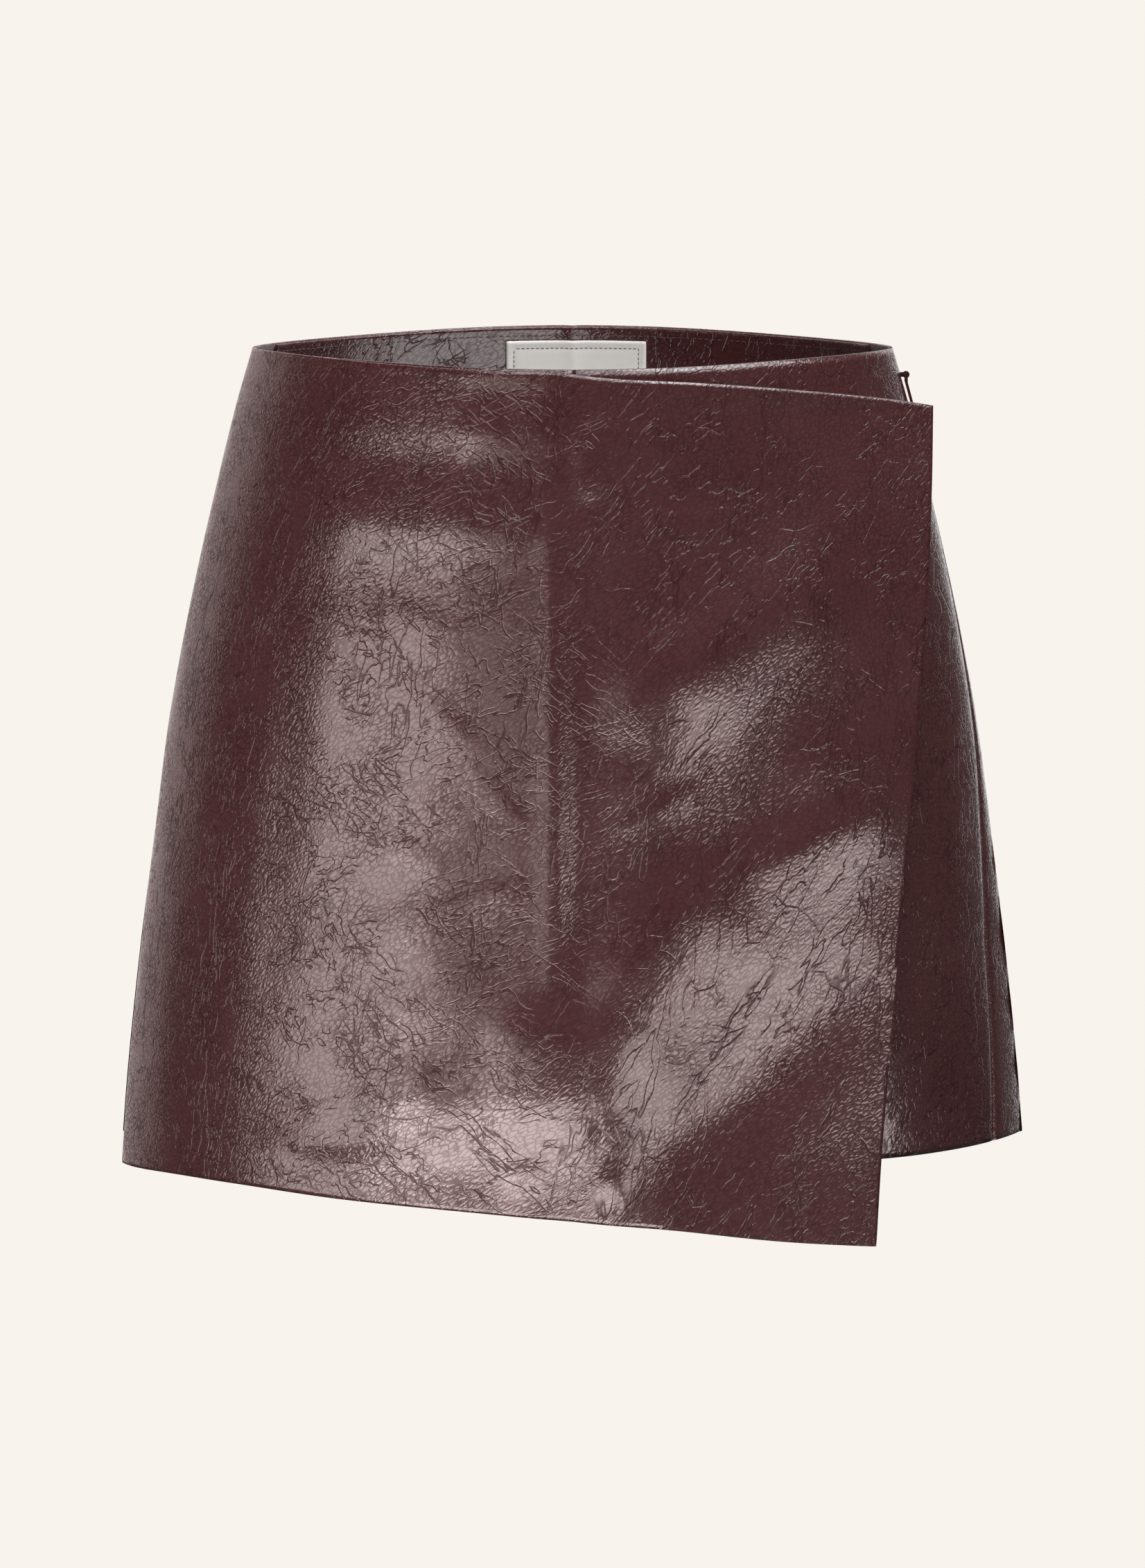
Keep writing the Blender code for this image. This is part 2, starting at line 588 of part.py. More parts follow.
def zip_pull(hinge, slope, material):
    """A pin through the slider's eye, two ears on it and a drop-shaped plate along the cloth."""
    hinge = np.array(hinge)
    down = np.array([math.sin(slope), -math.cos(slope)])
    away = np.array([math.cos(slope), math.sin(slope)])
    near, far = EYE_THICK / 2 + GAP, EYE_THICK / 2 + GAP + EAR_THICK
    pieces = [across_y("pull_pin", disc(PIN_RADIUS, PIN_SIDES, hinge), -far, far, material)]
    plate_top = EYE_RADIUS + PULL_START
    low = hinge + down * (plate_top + EAR_REACH) - away * PULL_DROP
    for way in (-1, 1):
        outline = [
            hinge + away * EAR_HALF - down * EAR_HALF,
            hinge - away * EAR_HALF - down * EAR_HALF,
            low - away * PULL_THICK * 0.4,
            low + away * PULL_THICK * 0.4,
        ]
        ends = sorted((way * near, way * far))
        pieces.append(across_y("pull_ear", [tuple(p) for p in outline], *ends, material))

    edge = []
    for share in np.linspace(0, 1, PULL_STEPS + 1)[:-1]:
        length = plate_top + (PULL_LENGTH - plate_top) * share
        turn = PULL_SWELL[0] + (PULL_SWELL[1] - PULL_SWELL[0]) * share**1.3
        swell = PULL_WIDTH / 2 * math.sin(math.pi * turn) ** 0.6
        edge.append((max(swell, far) if share < 0.15 else swell, length))
    outline = edge + [(-width, length) for width, length in reversed(edge)]
    sides = []
    for way in (-0.5, 0.5):
        offset = hinge + away * (way * PULL_THICK - PULL_DROP)
        sides.append([((offset + down * y)[0], x, (offset + down * y)[1]) for x, y in outline])
    pieces.append(prism("pull_plate", *sides, material))
    pull = joined("zip_pull", pieces)
    # Its origin is on the hinge's axis.
    pull.data.transform(Matrix.Translation((-hinge[0], 0.0, -hinge[1])))
    pull.location = (hinge[0], 0.0, hinge[1])


def zip_pieces(seam_line):
    """The slider and its pull at the right side seam, whose outer line is given from the top."""
    drop = -seam_line[:, 2]
    seam_x, lower_x = np.interp([-SLIDER_Z, -SLIDER_Z + PULL_LENGTH], drop, seam_line[:, 0])
    hinge = (seam_x + HINGE_OUT, SLIDER_Z)
    slope = math.atan2(lower_x - seam_x, PULL_LENGTH)
    zip_slider(seam_x, hinge, finish("zip_slider", DYED_METAL, 0.4, 0.6))
    zip_pull(hinge, slope, finish("zip_pull", DYED_METAL, 0.4, 0.6))


# ---- the garment ---------------------------------------------------------------------------
def build():
    for thing in list(bpy.data.objects):
        bpy.data.objects.remove(thing)
    leather = {
        name: finish(name, LEATHER, 0.36)
        for name in ("front_flap", "front_left", "front_right", "back_left", "back_right", "back_facing")
    }
    plain, ahead = half_shorts(0.0), half_shorts(1.0)
    plain_seam, ahead_seam = seam_frames(*plain), seam_frames(*ahead)

    shorts_wall(
        "front_left", plain[0], -1, plain_seam, (), -1, UNDER_INSET, False, leather["front_left"]
    )
    front_in = shorts_wall(
        "front_right", ahead[0], -1, ahead_seam, RIGHT_FRONT_FOLDS, 1, 0.0, True, leather["front_right"]
    )
    left_in = shorts_wall(
        "back_left", plain[1], 1, plain_seam, BACK_FOLDS, -1, 0.0, False, leather["back_left"]
    )
    right_in = shorts_wall(
        "back_right", ahead[1], 1, ahead_seam, BACK_FOLDS, 1, 0.0, True, leather["back_right"]
    )
    flap_wall(FLAP_ROWS, FLAP_COLUMNS, plain_seam, leather["front_flap"])

    middle = (left_in[:, -1:] + right_in[:, -1:]) / 2
    across_back = np.concatenate([left_in[:, :-1], middle, right_in[:, -2::-1]], axis=1)
    facing_inner = facing_wall(across_back, leather["back_facing"])
    label_wall(facing_inner, finish("label", LABEL_CLOTH, 0.7))
    tape_wall("zip_tape_front", front_in[:, ::-1], finish("zip_tape_front", TAPE_CLOTH, 0.85))
    tape_wall("zip_tape_back", right_in, finish("zip_tape_back", TAPE_CLOTH, 0.85))
    zip_pieces(ahead[0][0][:, -1])


build()
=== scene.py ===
"""The looks of a wrap-front mini skort in a grained, stiff leather-look cloth.

Units are metres, +Z is up and the front faces -Y.  "Left" and "right" are those of somebody who
looks at the front.  The cloth is made again here as thin shells on the same rings, legs and edges
as the solids, with finer grids, so that its smaller folds fit in.
"""

import math

import bpy
import numpy as np
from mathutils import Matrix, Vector


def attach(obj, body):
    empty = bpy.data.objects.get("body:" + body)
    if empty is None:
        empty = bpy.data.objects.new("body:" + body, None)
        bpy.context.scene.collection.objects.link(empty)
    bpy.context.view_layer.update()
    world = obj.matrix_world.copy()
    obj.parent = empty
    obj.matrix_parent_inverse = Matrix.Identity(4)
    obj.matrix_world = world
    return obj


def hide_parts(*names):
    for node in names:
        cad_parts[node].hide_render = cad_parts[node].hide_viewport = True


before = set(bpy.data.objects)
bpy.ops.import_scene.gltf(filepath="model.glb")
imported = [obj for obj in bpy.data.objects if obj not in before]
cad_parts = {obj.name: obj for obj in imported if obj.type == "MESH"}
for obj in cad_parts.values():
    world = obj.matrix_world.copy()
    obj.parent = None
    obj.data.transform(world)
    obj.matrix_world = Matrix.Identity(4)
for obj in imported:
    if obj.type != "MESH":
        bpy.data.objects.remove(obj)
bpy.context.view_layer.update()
SCENE = bpy.context.scene
MM = 0.001

# ---- sizes shared with the solids ----
WALL = 1.5 * MM            # cloth of the panels
FACING_WALL = 1.2 * MM
LABEL_WALL = 1.0 * MM
TAPE_WALL = 1.0 * MM
GAP = 0.3 * MM             # between a piece and what it lies on
SEAM_GAP = 0.16 * MM       # narrower than the solids', so that sewn panels nearly touch
SHORTS_HEM = -335.0 * MM   # height of the hem of the shorts below the waist
FORK_TOP = -150.0 * MM     # where the centre seams start to curve towards the crotch
CROTCH_Z = -256.0 * MM
CROTCH_Y = 14.0 * MM
LEG_GAP = 12.0 * MM        # from the middle plane to each leg's inner side at the hem
FLAP_LIFT = 3.6 * MM       # the wrap panel's outer face ahead of the shorts at the centre front
UNDER_INSET = 2.3 * MM     # the left shorts front lies this far inside the wrap panel's line
RING_COLUMNS = ("z", "half_width", "front", "back", "front_pinch", "back_pinch", "seam_ahead")
RINGS = (
    (0, 135.6, 98, 98.5, 1.42, 1.4, 0),
    (-20, 141.4, 100, 103.5, 1.4, 1.36, 0),
    (-60, 151.3, 104, 112, 1.38, 1.28, 0),
    (-110, 162.4, 108.5, 120, 1.36, 1.2, 2),
    (-160, 171.6, 111.5, 125, 1.35, 1.14, 6),
    (-210, 178.2, 113, 126, 1.35, 1.12, 11),
    (-260, 184.4, 114, 123.5, 1.35, 1.1, 16),
    (-310, 189.6, 115, 119, 1.36, 1.1, 22),
    (-370, 194, 116, 114, 1.36, 1.1, 29),
)
LEG_COLUMNS = ("z", "front", "back", "inner_pinch", "front_pinch", "back_pinch")
LEGS = (
    (-210, 104, 117, 0.9, 2.1, 1.7),
    (-250, 99, 113, 0.9, 2, 1.55),
    (-290, 92, 109, 0.95, 1.85, 1.42),
    (-335, 85, 104.5, 1, 1.7, 1.32),
)
FORK_FRONT = 9.0 * MM      # how far the cloth over the fork stands out, in front
FORK_BACK = 11.0 * MM      # and behind
SEAT_FULLNESS = 9.0 * MM   # how far it stands out behind the middle of each leg, a little higher
UNDER_BLEND = 6.0 * MM     # softness of the limit that keeps the legs behind the wrap panel
WAIST_WAVE = 1.0 * MM      # the waist rises this much in front of the sides and dips behind them
FLAP_END_COLUMNS = ("across", "top", "hem")
FLAP_ENDS = (
    (-1, 0, -348),
    (-0.9, 0.7, -346.2),
    (-0.75, 0.8, -345.8),
    (-0.52, 0.2, -347.6),
    (-0.25, -0.5, -350),
    (-0.04, -0.8, -352.8),
    (0.06, -2.7, -354.3),
    (0.34, -6.2, -357.8),
    (0.72, -13.8, -363.8),
    (1, -21, -367.5),
)
FREE_EDGE_COLUMNS = ("z", "x", "y", "slope_deg")
FREE_EDGE = (
    (-21, 151.3, -36, 33),
    (-54, 150.6, -46, 32),
    (-110, 147.7, -61, 31),
    (-160, 143.6, -70, 30),
    (-210, 139.3, -77.5, 29),
    (-260, 135.2, -84, 28),
    (-310, 130.8, -89, 26),
    (-367.5, 124, -93.5, 24),
)
FREE_REACH = 0.34          # arm of the curve up to the free edge, as a share of the edge's x
FACING_DEPTH = 45.0 * MM
FACING_TOP = 0.6 * MM
LABEL_SIZE = (60.0 * MM, 30.0 * MM)     # wide, tall
LABEL_PLACE = (1.6 * MM, 6.6 * MM)      # right of the centre back seam, below the top edge
TAPE_WIDTH = 11.0 * MM
TAPE_START = 2.2 * MM                   # from the panel's edge to its tape
TAPE_SPAN = (-4.0 * MM, -184.0 * MM)    # heights
ZIP_MOUTH = 2.0 * MM                    # half of the seam's opening at the waist, above the slider
SLIDER_Z = -11.5 * MM                   # height of the pull's hinge

# ---- the cloth ----
SEAM_DIP = 0.55 * MM       # cloth sinks this much beside a seam
SEAM_DIP_WIDE = 2.2 * MM
SEAM_REACH = 5.0 * MM      # how far beside a side seam the cloth makes room for its gap
MOUTH_END = 1.6            # the zip's mouth closes at this many times the slider's depth
FLAP_FADE = 40.0 * MM      # the wrap panel's folds have their full height this far from its seam
FOLD_FADE = 0.25           # and those of the shorts this share of a row from its ends
FOLD_LEVEL = 1.8           # the higher, the shorter the level middle of a fold
LEAST_MITRE = 0.6          # at a sharper corner than this the wall grows no thicker
INNER_SEAM = (1.0, 0.0, 0.25)   # what is kept of a normal's x, y and z at the inner leg seams
LEG_MIDDLE = 90.0 * MM     # x of the line that the cloth of the right half looks away from
FLAP_MIDDLE = (0.0, 40.0 * MM, -180.0 * MM)     # a point behind the wrap panel
BODY_MIDDLE = (0.0, 0.0, -50.0 * MM)            # and one inside the waist
RIM_SHARE = 0.28           # a cut edge's rounded rim stands out this share of the wall
RIM_MOST = 0.3 * MM        # and not more than this

# ---- stitches and the zip's coils ----
FACING_STITCH = (2.3 * MM, 3.0 * MM, 0.28 * MM)     # length, pitch, radius
LABEL_STITCH = (1.7 * MM, 2.1 * MM, 0.22 * MM)
STITCH_SIDES = 6
STITCH_RINGS = 5
STITCH_ENDS = 0.35         # radius of a stitch's ends, as a share of its middle's
STITCH_SUNK = (0.55, 1.1)  # its ends lie this many radii deep, and its middle so many higher
FACING_STITCH_ROW = 3      # the row of the facing's grid that the topstitching follows
FACING_STITCH_LIFT = 0.05 * MM
LABEL_INSET = 3            # places from the label's edge to its stitch line
LABEL_SINK = 0.25 * MM     # the label is drawn in under that line
LABEL_SINK_AT = 3.0 * MM
LABEL_SINK_WIDE = 0.9 * MM
COIL_PITCH = 1.3 * MM
COIL_RADIUS = 0.75 * MM
COIL_OVAL = (1.3, 0.8)     # across the tape and up from it, in radii
COIL_WIRE = 0.24 * MM
COIL_STEPS = 8             # places in each turn
COIL_SIDES = 5
COIL_LIFT = 0.3 * MM
COIL_TOP_ROW = 6           # the row of the tape's grid that the coil starts at

# ---- folds, in mm ----
# Where each lies, its half lengths along and across, the angle of its length above level, how
# far it stands out, and how much steeper it falls on one side than on the other.
FOLD_COLUMNS = ("x", "z", "along", "across", "angle_deg", "out", "lean")
FLAP_FOLDS = (
    (-50, -24, 110, 13, 0, 0.6, -0.3),  # the roll of the waist
    (-66, -66, 76, 15, 0, 2.3, -0.3),  # below the end of its turning
    (40, -64, 60, 8, 3, 0.8, 0.2),
    (9, -36, 26, 11, 80, 1.9, 0.2),
    (-20, -2, 46, 5, -2, 0.6, 0),
    (-38, -26, 14, 9, 10, 1, 0),
    (-8, -150, 150, 6, 90, 1.4, 0),  # the centre seam below shows through
    (6, -166, 160, 12, 90, -1.9, 0.3),
    (28, -165, 30, 12, 60, 0.7, 0),
    (-2, -282, 46, 27, 2, 3.8, 0.5),  # the crest of the swell above the hem
    (36, -240, 54, 22, 46, 4.8, 0.3),
    (98, -200, 60, 15, 22, 2.7, 0.3),
    (70, -112, 78, 24, 42, 4.4, 0.1),  # drag folds up to the free edge
    (34, -182, 28, 4.5, 28, 0.6, 0.3),
    (30, -128, 40, 14, 62, 1.6, 0),
    (78, -294, 90, 25, 44, -3.8, 0),
    (118, -168, 40, 22, 8, 1.8, 0.2),
    (110, -386, 90, 44, 8, 8.5, 0),  # the free corner stands out a little
    (-34, -302, 90, 28, 2, 3.6, -0.4),
    (0, -316, 12, 8, 10, 0.8, 0.3),
    (-20, -334, 12, 6, 0, 0.8, 0),
    (16, -338, 12, 7, 0, 0.8, 0),
    (-88, -322, 50, 10, 3, 2, -0.3),
    (-72, -234, 40, 15, 14, 1.8, 0.1),
    (-72, -300, 24, 10, 12, 1.6, 0),
    (-82, -114, 44, 15, 14, 0.4, 0),
    (-60, -262, 40, 14, 16, 1.3, 0),
    (-62, -106, 30, 9, -25, 0.3, 0.2),
    (-50, -148, 34, 6, -38, 0.45, 0.2),
    (-70, -200, 34, 7, -20, 0.7, 0.2),
    (-32, -176, 26, 5, -50, 0.5, 0.2),
    (-36, -218, 26, 6, 20, 0.7, 0.2),
    (-122, -205, 120, 14, 86, -0.8, 0),
)
BACK_FOLDS = (
    (58, -222, 60, 16, 20, -2, 0),
    (70, -262, 55, 18, 12, 1.6, 0),
    (40, -110, 60, 16, 78, 1.8, 0),
    (-64, -232, 62, 15, -16, -1.8, 0),
    (-52, -270, 50, 17, -10, 1.8, 0),
    (-95, -130, 70, 14, 96, 2.2, 0),
    (96, -160, 46, 12, 70, 1.6, 0.2),
    (30, -180, 34, 9, 52, -1.4, 0),
    (-36, -150, 44, 11, -60, 1.6, 0.2),
    (-110, -240, 44, 12, -70, -1.6, 0),
    (118, -270, 40, 12, 80, 1.4, 0),
    (84, -58, 30, 7, 20, 1.3, 0),
    (-70, -52, 46, 5, 0, -1.1, 0),
    (60, -50, 50, 5, 0, -1.1, 0),
)
RIGHT_FRONT_FOLDS = ((150, -215, 80, 9, 84, -0.8, 0),)
LEFT_FRONT_FOLDS = ((-90, -200, 70, 14, 84, 0.6, 0),)

# ---- colours and finishes ----
LEATHER = (0.068, 0.0145, 0.0165)
LEATHER_WARM = (0.076, 0.0170, 0.0190)
LEATHER_CREASE_SHADE = (0.024, 0.0050, 0.0060)      # painted shade: the darker colour put in the creases and the pebbles' gaps
LEATHER_ROUGHNESS = (0.42, 0.50)
LEATHER_SPECULAR = 0.15
COAT_ROUGHNESS = 0.175
COAT_IOR = 1.78
CREASE_COAT = 0.88                          # how much of the coat the creases take away
CREASE_SHADE_SHARE = 0.70                        # and how far their colour goes to the deep one, as painted shade
BACKING = ((0.150, 0.115, 0.110), (0.090, 0.065, 0.062))    # light and dark of its weave
LABEL_CLOTH = ((0.95, 0.92, 0.88), (0.82, 0.79, 0.75))
THREAD = (0.110, 0.050, 0.050)
LABEL_THREAD = (0.16, 0.14, 0.14)
TAPE_CLOTH = ((0.050, 0.018, 0.020), (0.024, 0.008, 0.009))
# Weaves: width of the threads in mm, roughness, depth in mm, sheen.
BACKING_WEAVE = (0.55, 0.85, 0.12, 0.15)
LABEL_WEAVE = (0.28, 0.55, 0.05, 0.2)
TAPE_WEAVE = (0.4, 0.8, 0.08, 0.0)
METAL = (0.085, 0.022, 0.028)
METAL_ROUGHNESS = {"zip_slider": 0.34, "zip_pull": 0.30}

# The grain: where it goes over from the left half's creases to the right half's, in metres of x
# and bent by noise of this size; scales are cells in a metre, reliefs are in mm.
HALVES = (0.015, 0.075)
HALVES_BENT = 0.08
BROAD_SCALE = 17.0
PATCH_SCALE = 46.0
BEND = (60.0, 0.006)            # scale and amount of the noise that bends the creases
SKIN_BEND = (300.0, 0.0016)     # and of the one that bends the pebbles
PEBBLES = {"turn": 54.0, "stretch": 2.5, "scale": 600.0, "gap": 0.18, "dome": 0.45, "relief": 0.046}
PEBBLE_PATCHES = (0.36, 0.60, 0.45, 0.8)
NET = {"turn": 40.0, "stretch": 1.9, "scale": 100.0, "width": 0.030, "strength": 0.9}
NET_PATCHES = (0.46, 0.62)
# Creases: the lean of their length, their stretch and scale, their half width and the range over
# which their patches fade in, both in the noise's measure, and the half that they lie on.
CREASE_COLUMNS = ("lean_deg", "stretch", "scale", "width", "from", "to", "half")
CREASES = (
    (66, 6, 260, 0.034, 0.42, 0.58, "left"),
    (128, 5.6, 240, 0.03, 0.48, 0.62, "left"),
    (38, 7.5, 240, 0.032, 0.42, 0.58, "right"),
    (12, 5, 180, 0.028, 0.5, 0.64, "both"),
)
BOTH_HALVES = 0.9               # strength of the creases that lie on both
CREASE_PATCHES = 0.35           # scale of their patches, as a share of their own
ROLL_SCALE = 80.0
ROLL_RELIEF = (0.15, 0.05)      # on the left half and on the right
CUT_RELIEF = (0.09, 0.10)

# ---- the camera ----
CAMERA_DISTANCE = 5.0
CAMERA_ELEVATION = math.radians(7.7)
CAMERA_TARGET = Vector((0.0, 0.0, -0.186))
CAMERA_LENS = 270.6
CAMERA_SENSOR = 36.0                    # the picture's longer side, in mm

# ---- the stage ----
BACKDROP = (0.939, 0.896, 0.847)
WORLD_COLOUR = (0.94, 0.93, 0.92)
WORLD_STRENGTH = 0.10
FLOOR_Z = -0.62
FLOOR_RADIUS = 11.0
FLOOR_SIDES = 64
DOME_RADIUS = 12.0
DOME_RINGS = 16
DOME_SIDES = 32
DOME_POLE = 0.02                        # angle that is left open at each pole before its cap
# Soft boxes: azimuth from the front towards the right and elevation in degrees, distance, width
# and height in metres, how bright their face is, whether cloth is lit by it or only shines, and
# whether its light is warm.
LIGHT_COLUMNS = ("name", "azimuth", "elevation", "distance", "wide", "tall", "bright", "lit", "warm")
LIGHTS = (
    ("key", -51, -7.5, 1.6, 1.16, 1.02, 3.45, True, True),
    ("key_inner", -21, -9, 1.6, 0.54, 1.00, 1.05, True, True),
    ("low", -14, -35, 1.45, 1.58, 0.96, 6, False, True),
    ("low_right", 46, -16, 1.7, 1.22, 0.52, 4.3, False, True),
    ("top", 10, 60, 2.2, 2.4, 1.6, 3.1, True, False),
    ("right", 75, 58, 2.2, 1.6, 1.6, 4.5, True, False),
    ("side_left", -127, 4, 2.6, 1.4, 2.6, 0.7, False, True),
    ("rim_left", -159, 8, 2.6, 1.6, 2.6, 0.9, True, True),
    ("rim_right", 156, 8, 2.6, 1.6, 2.6, 1.35, True, False),
    ("back", 180, 50, 2.6, 1.8, 1.2, 1.5, True, False),
)
WARM = (1.0, 0.86, 0.84)
# A soft glow inside the front, towards the inside of the back.
INNER_SIZE = (0.120, 0.080)
INNER_BRIGHT = 2.2
INNER_PLACE = (0.042, 0.005, -0.090)
INNER_TOWARDS = (-0.5, 0.7, 0.5)


# ---- tables and curves ----
def smooth_through(knots, values, at):
    """A cubic through the table's values, with each slope from its two neighbours."""
    order = np.argsort(knots)
    knots, values = knots[order], values[order]
    slopes = np.gradient(values, knots)
    at = np.clip(at, knots[0], knots[-1])
    cell = np.clip(np.searchsorted(knots, at) - 1, 0, len(knots) - 2)
    width = knots[cell + 1] - knots[cell]
    s = (at - knots[cell]) / width
    return (
        (1 + 2 * s) * (1 - s) ** 2 * values[cell]
        + s * (1 - s) ** 2 * width * slopes[cell]
        + s**2 * (3 - 2 * s) * values[cell + 1]
        - s**2 * (1 - s) * width * slopes[cell + 1]
    )


def from_table(columns, rows, name, at):
    """A column of a table at other values of the table's first column."""
    knots = np.array([row[0] for row in rows], float)
    values = np.array([row[columns.index(name)] for row in rows], float)
    found = smooth_through(knots, values, at)
    return found if name.endswith(("pinch", "deg")) else found * MM


def ring(name, z):
    return from_table(RING_COLUMNS, RINGS, name, z / MM)


def leg(name, z):
    return from_table(LEG_COLUMNS, LEGS, name, z / MM)


def flap_end(name, across):
    return from_table(FLAP_END_COLUMNS, FLAP_ENDS, name, across)


def free_edge(name, z):
    return from_table(FREE_EDGE_COLUMNS, FREE_EDGE, name, z / MM)


def smoothstep(t):
    t = np.clip(t, 0.0, 1.0)
    return t * t * (3 - 2 * t)


def relief(folds, x, z):
    """How far the folds of one table stand out at the places x, z of a panel.  Across its length a
    fold is a bell, and along it it is level and then runs out softly."""
    out = np.zeros_like(x)
    for row in folds:
        fold = dict(zip(FOLD_COLUMNS, row))
        angle = math.radians(fold["angle_deg"])
        dx, dz = x / MM - fold["x"], z / MM - fold["z"]
        along = (dx * math.cos(angle) + dz * math.sin(angle)) / fold["along"]
        across = (dz * math.cos(angle) - dx * math.sin(angle)) / fold["across"]
        across = across * (1 + fold["lean"] * np.tanh(2 * across))
        out += fold["out"] * np.exp(-0.5 * (FOLD_LEVEL * along) ** 4 - across**2)
    return out * MM


def unit(vectors):
    return vectors / np.maximum(np.linalg.norm(vectors, axis=-1, keepdims=True), 1e-12)


def travelled(line):
    """How far along the line each of its points lies."""
    return np.concatenate([[0], np.cumsum(np.linalg.norm(np.diff(line, axis=0), axis=1))])


def distance_along(points, from_first=True):
    """How far along its row each point lies, from the row's first point or from its last."""
    steps = np.linalg.norm(np.diff(points, axis=1), axis=2)
    far = np.concatenate([np.zeros((len(points), 1)), np.cumsum(steps, axis=1)], axis=1)
    return far if from_first else far[:, -1:] - far


def even_rows(points, count):
    """Each row of points taken again at count + 1 places, evenly spaced along it."""
    rows = []
    for row, far in zip(points, distance_along(points)):
        wanted = np.linspace(0, far[-1], count + 1)
        rows.append(np.stack([np.interp(wanted, far, row[:, axis]) for axis in range(3)], axis=1))
    return np.array(rows)


def normals_of(points, away_from):
    """A grid's normals, turned away from a point or from one point for each row."""
    down, along = np.gradient(points, axis=0), np.gradient(points, axis=1)
    normals = unit(np.cross(down, along))
    turned = np.sum(normals * (points - away_from), axis=2)
    return normals * (1.0 if turned.mean() > 0 else -1.0)


# ---- the garment's surfaces ----
FINER = 6                  # rows and columns here for each one of the solids
ROWS = 20 * FINER          # of each shorts quarter, from the waist to the hem
CROTCH_ROW = 15 * FINER    # the row that starts at the crotch
FORK_ROW = 7 * FINER       # the row at which the centre seams start to curve
COLUMNS = 15 * FINER       # of each shorts quarter, from the centre to the side
FINE = 480                 # points along a row before it is evened out
FLAP_GRID = (196, 212)     # rows and columns of the wrap panel
FACING_ROWS = 40
FACING_MARGIN = 2 * FINER  # columns of the back walls left bare beside each side seam
LABEL_GRID = (31, 61)
TAPE_ROWS = 90
TAPE_PLACES = 12           # across a tape


def half_rows(angle):
    """Rows of points of the right half, at the angles 0 centre front, pi/2 side, pi centre back."""
    row = np.arange(ROWS + 1)
    curve = np.clip((row - FORK_ROW) / (CROTCH_ROW - FORK_ROW), 0, 1) * math.pi / 2
    inner_z = np.where(
        row <= FORK_ROW,
        FORK_TOP * row / FORK_ROW,
        FORK_TOP + (CROTCH_Z - FORK_TOP) * np.sin(curve),
    )
    below = np.clip((row - CROTCH_ROW) / (ROWS - CROTCH_ROW), 0, 1)
    inner_z = inner_z + (SHORTS_HEM - CROTCH_Z) * below
    outer_z = SHORTS_HEM * row / ROWS
    split = (1 - np.cos(curve))[:, None]        # 0 one trunk, 1 two legs
    inner_x = (LEG_GAP * below**0.7)[:, None]

    side = np.sin(angle) ** 2
    way = np.where(angle <= math.pi / 2, -1.0, 1.0)
    z = inner_z[:, None] + (outer_z - inner_z)[:, None] * side
    half = ring("half_width", z)
    depth = np.where(way < 0, ring("front", z), ring("back", z))
    pinch = np.where(way < 0, ring("front_pinch", z), ring("back_pinch", z))
    trunk_x = half * np.sin(angle)
    trunk_y = way * depth * np.abs(np.cos(angle)) ** pinch
    leg_depth = np.where(way < 0, leg("front", z), leg("back", z))
    outer_pinch = np.where(way < 0, leg("front_pinch", z), leg("back_pinch", z))
    leg_pinch = leg("inner_pinch", z) + (outer_pinch - leg("inner_pinch", z)) * side
    leg_x = (half + inner_x) / 2 - (half - inner_x) / 2 * np.cos(2 * angle)
    leg_y = CROTCH_Y * (1 - side) + way * leg_depth * np.abs(np.sin(2 * angle)) ** leg_pinch
    x = trunk_x + (leg_x - trunk_x) * split
    y = trunk_y + (leg_y - trunk_y) * split
    y += np.where(way < 0, -FORK_FRONT, FORK_BACK) * (1 - side) * 4 * split * (1 - split)
    seat = np.where(way < 0, 0.0, SEAT_FULLNESS) * np.sin(2 * angle) ** 2
    y += seat * 27 / 4 * split * (1 - split) ** 2
    # In front the legs stay behind the trunk's own line, which the wrap panel follows.
    line = -ring("front", z) * np.clip(1 - (x / half) ** 2, 0, 1) ** (ring("front_pinch", z) / 2)
    behind = (y + line + np.sqrt((y - line) ** 2 + (UNDER_BLEND * split) ** 2)) / 2
    y = np.where(way < 0, behind, y)
    z -= way * WAIST_WAVE * np.sin(math.pi * side) * (1 - row / ROWS)[:, None] ** 8
    return np.stack([x, y, z], axis=2)


def seam_angles(ahead):
    """The side seam's angle in each row, where the row is as far ahead as the table says."""
    angles = np.linspace(0.3 * math.pi, math.pi / 2, FINE + 1)
    rows = half_rows(np.repeat(angles[None, :], ROWS + 1, axis=0))
    wanted = -ahead * ring("seam_ahead", rows[:, -1, 2])
    return np.array([np.interp(y, row[:, 1], angles) for y, row in zip(wanted, rows)])


def half_shorts(ahead):
    """The front and the back panel's outer points of the right half, with their normals."""
    seam = seam_angles(ahead)[:, None]
    share = np.linspace(0, 1, FINE + 1)[None, :]
    panels = []
    for start, end in ((0.0 * seam, seam), (seam, math.pi + 0.0 * seam)):
        points = even_rows(half_rows(start + (end - start) * share), COLUMNS)
        middle = points.mean(axis=1, keepdims=True) * (0, 0, 1)
        middle[:, :, 0] = LEG_MIDDLE
        panels.append([points, normals_of(points, middle)])
    return panels


def seam_frames(front, back):
    """Along the side seam: the direction that halves the corner, and the one across the seam."""
    (front_points, front_normals), (_, back_normals) = front, back
    out = unit(front_normals[:, -1] + back_normals[:, 0])
    down = unit(np.gradient(front_points[:, -1], axis=0))
    forward = unit(np.cross(out, down))
    forward *= np.where(forward[:, 1:2] > 0, -1.0, 1.0)
    return out, forward


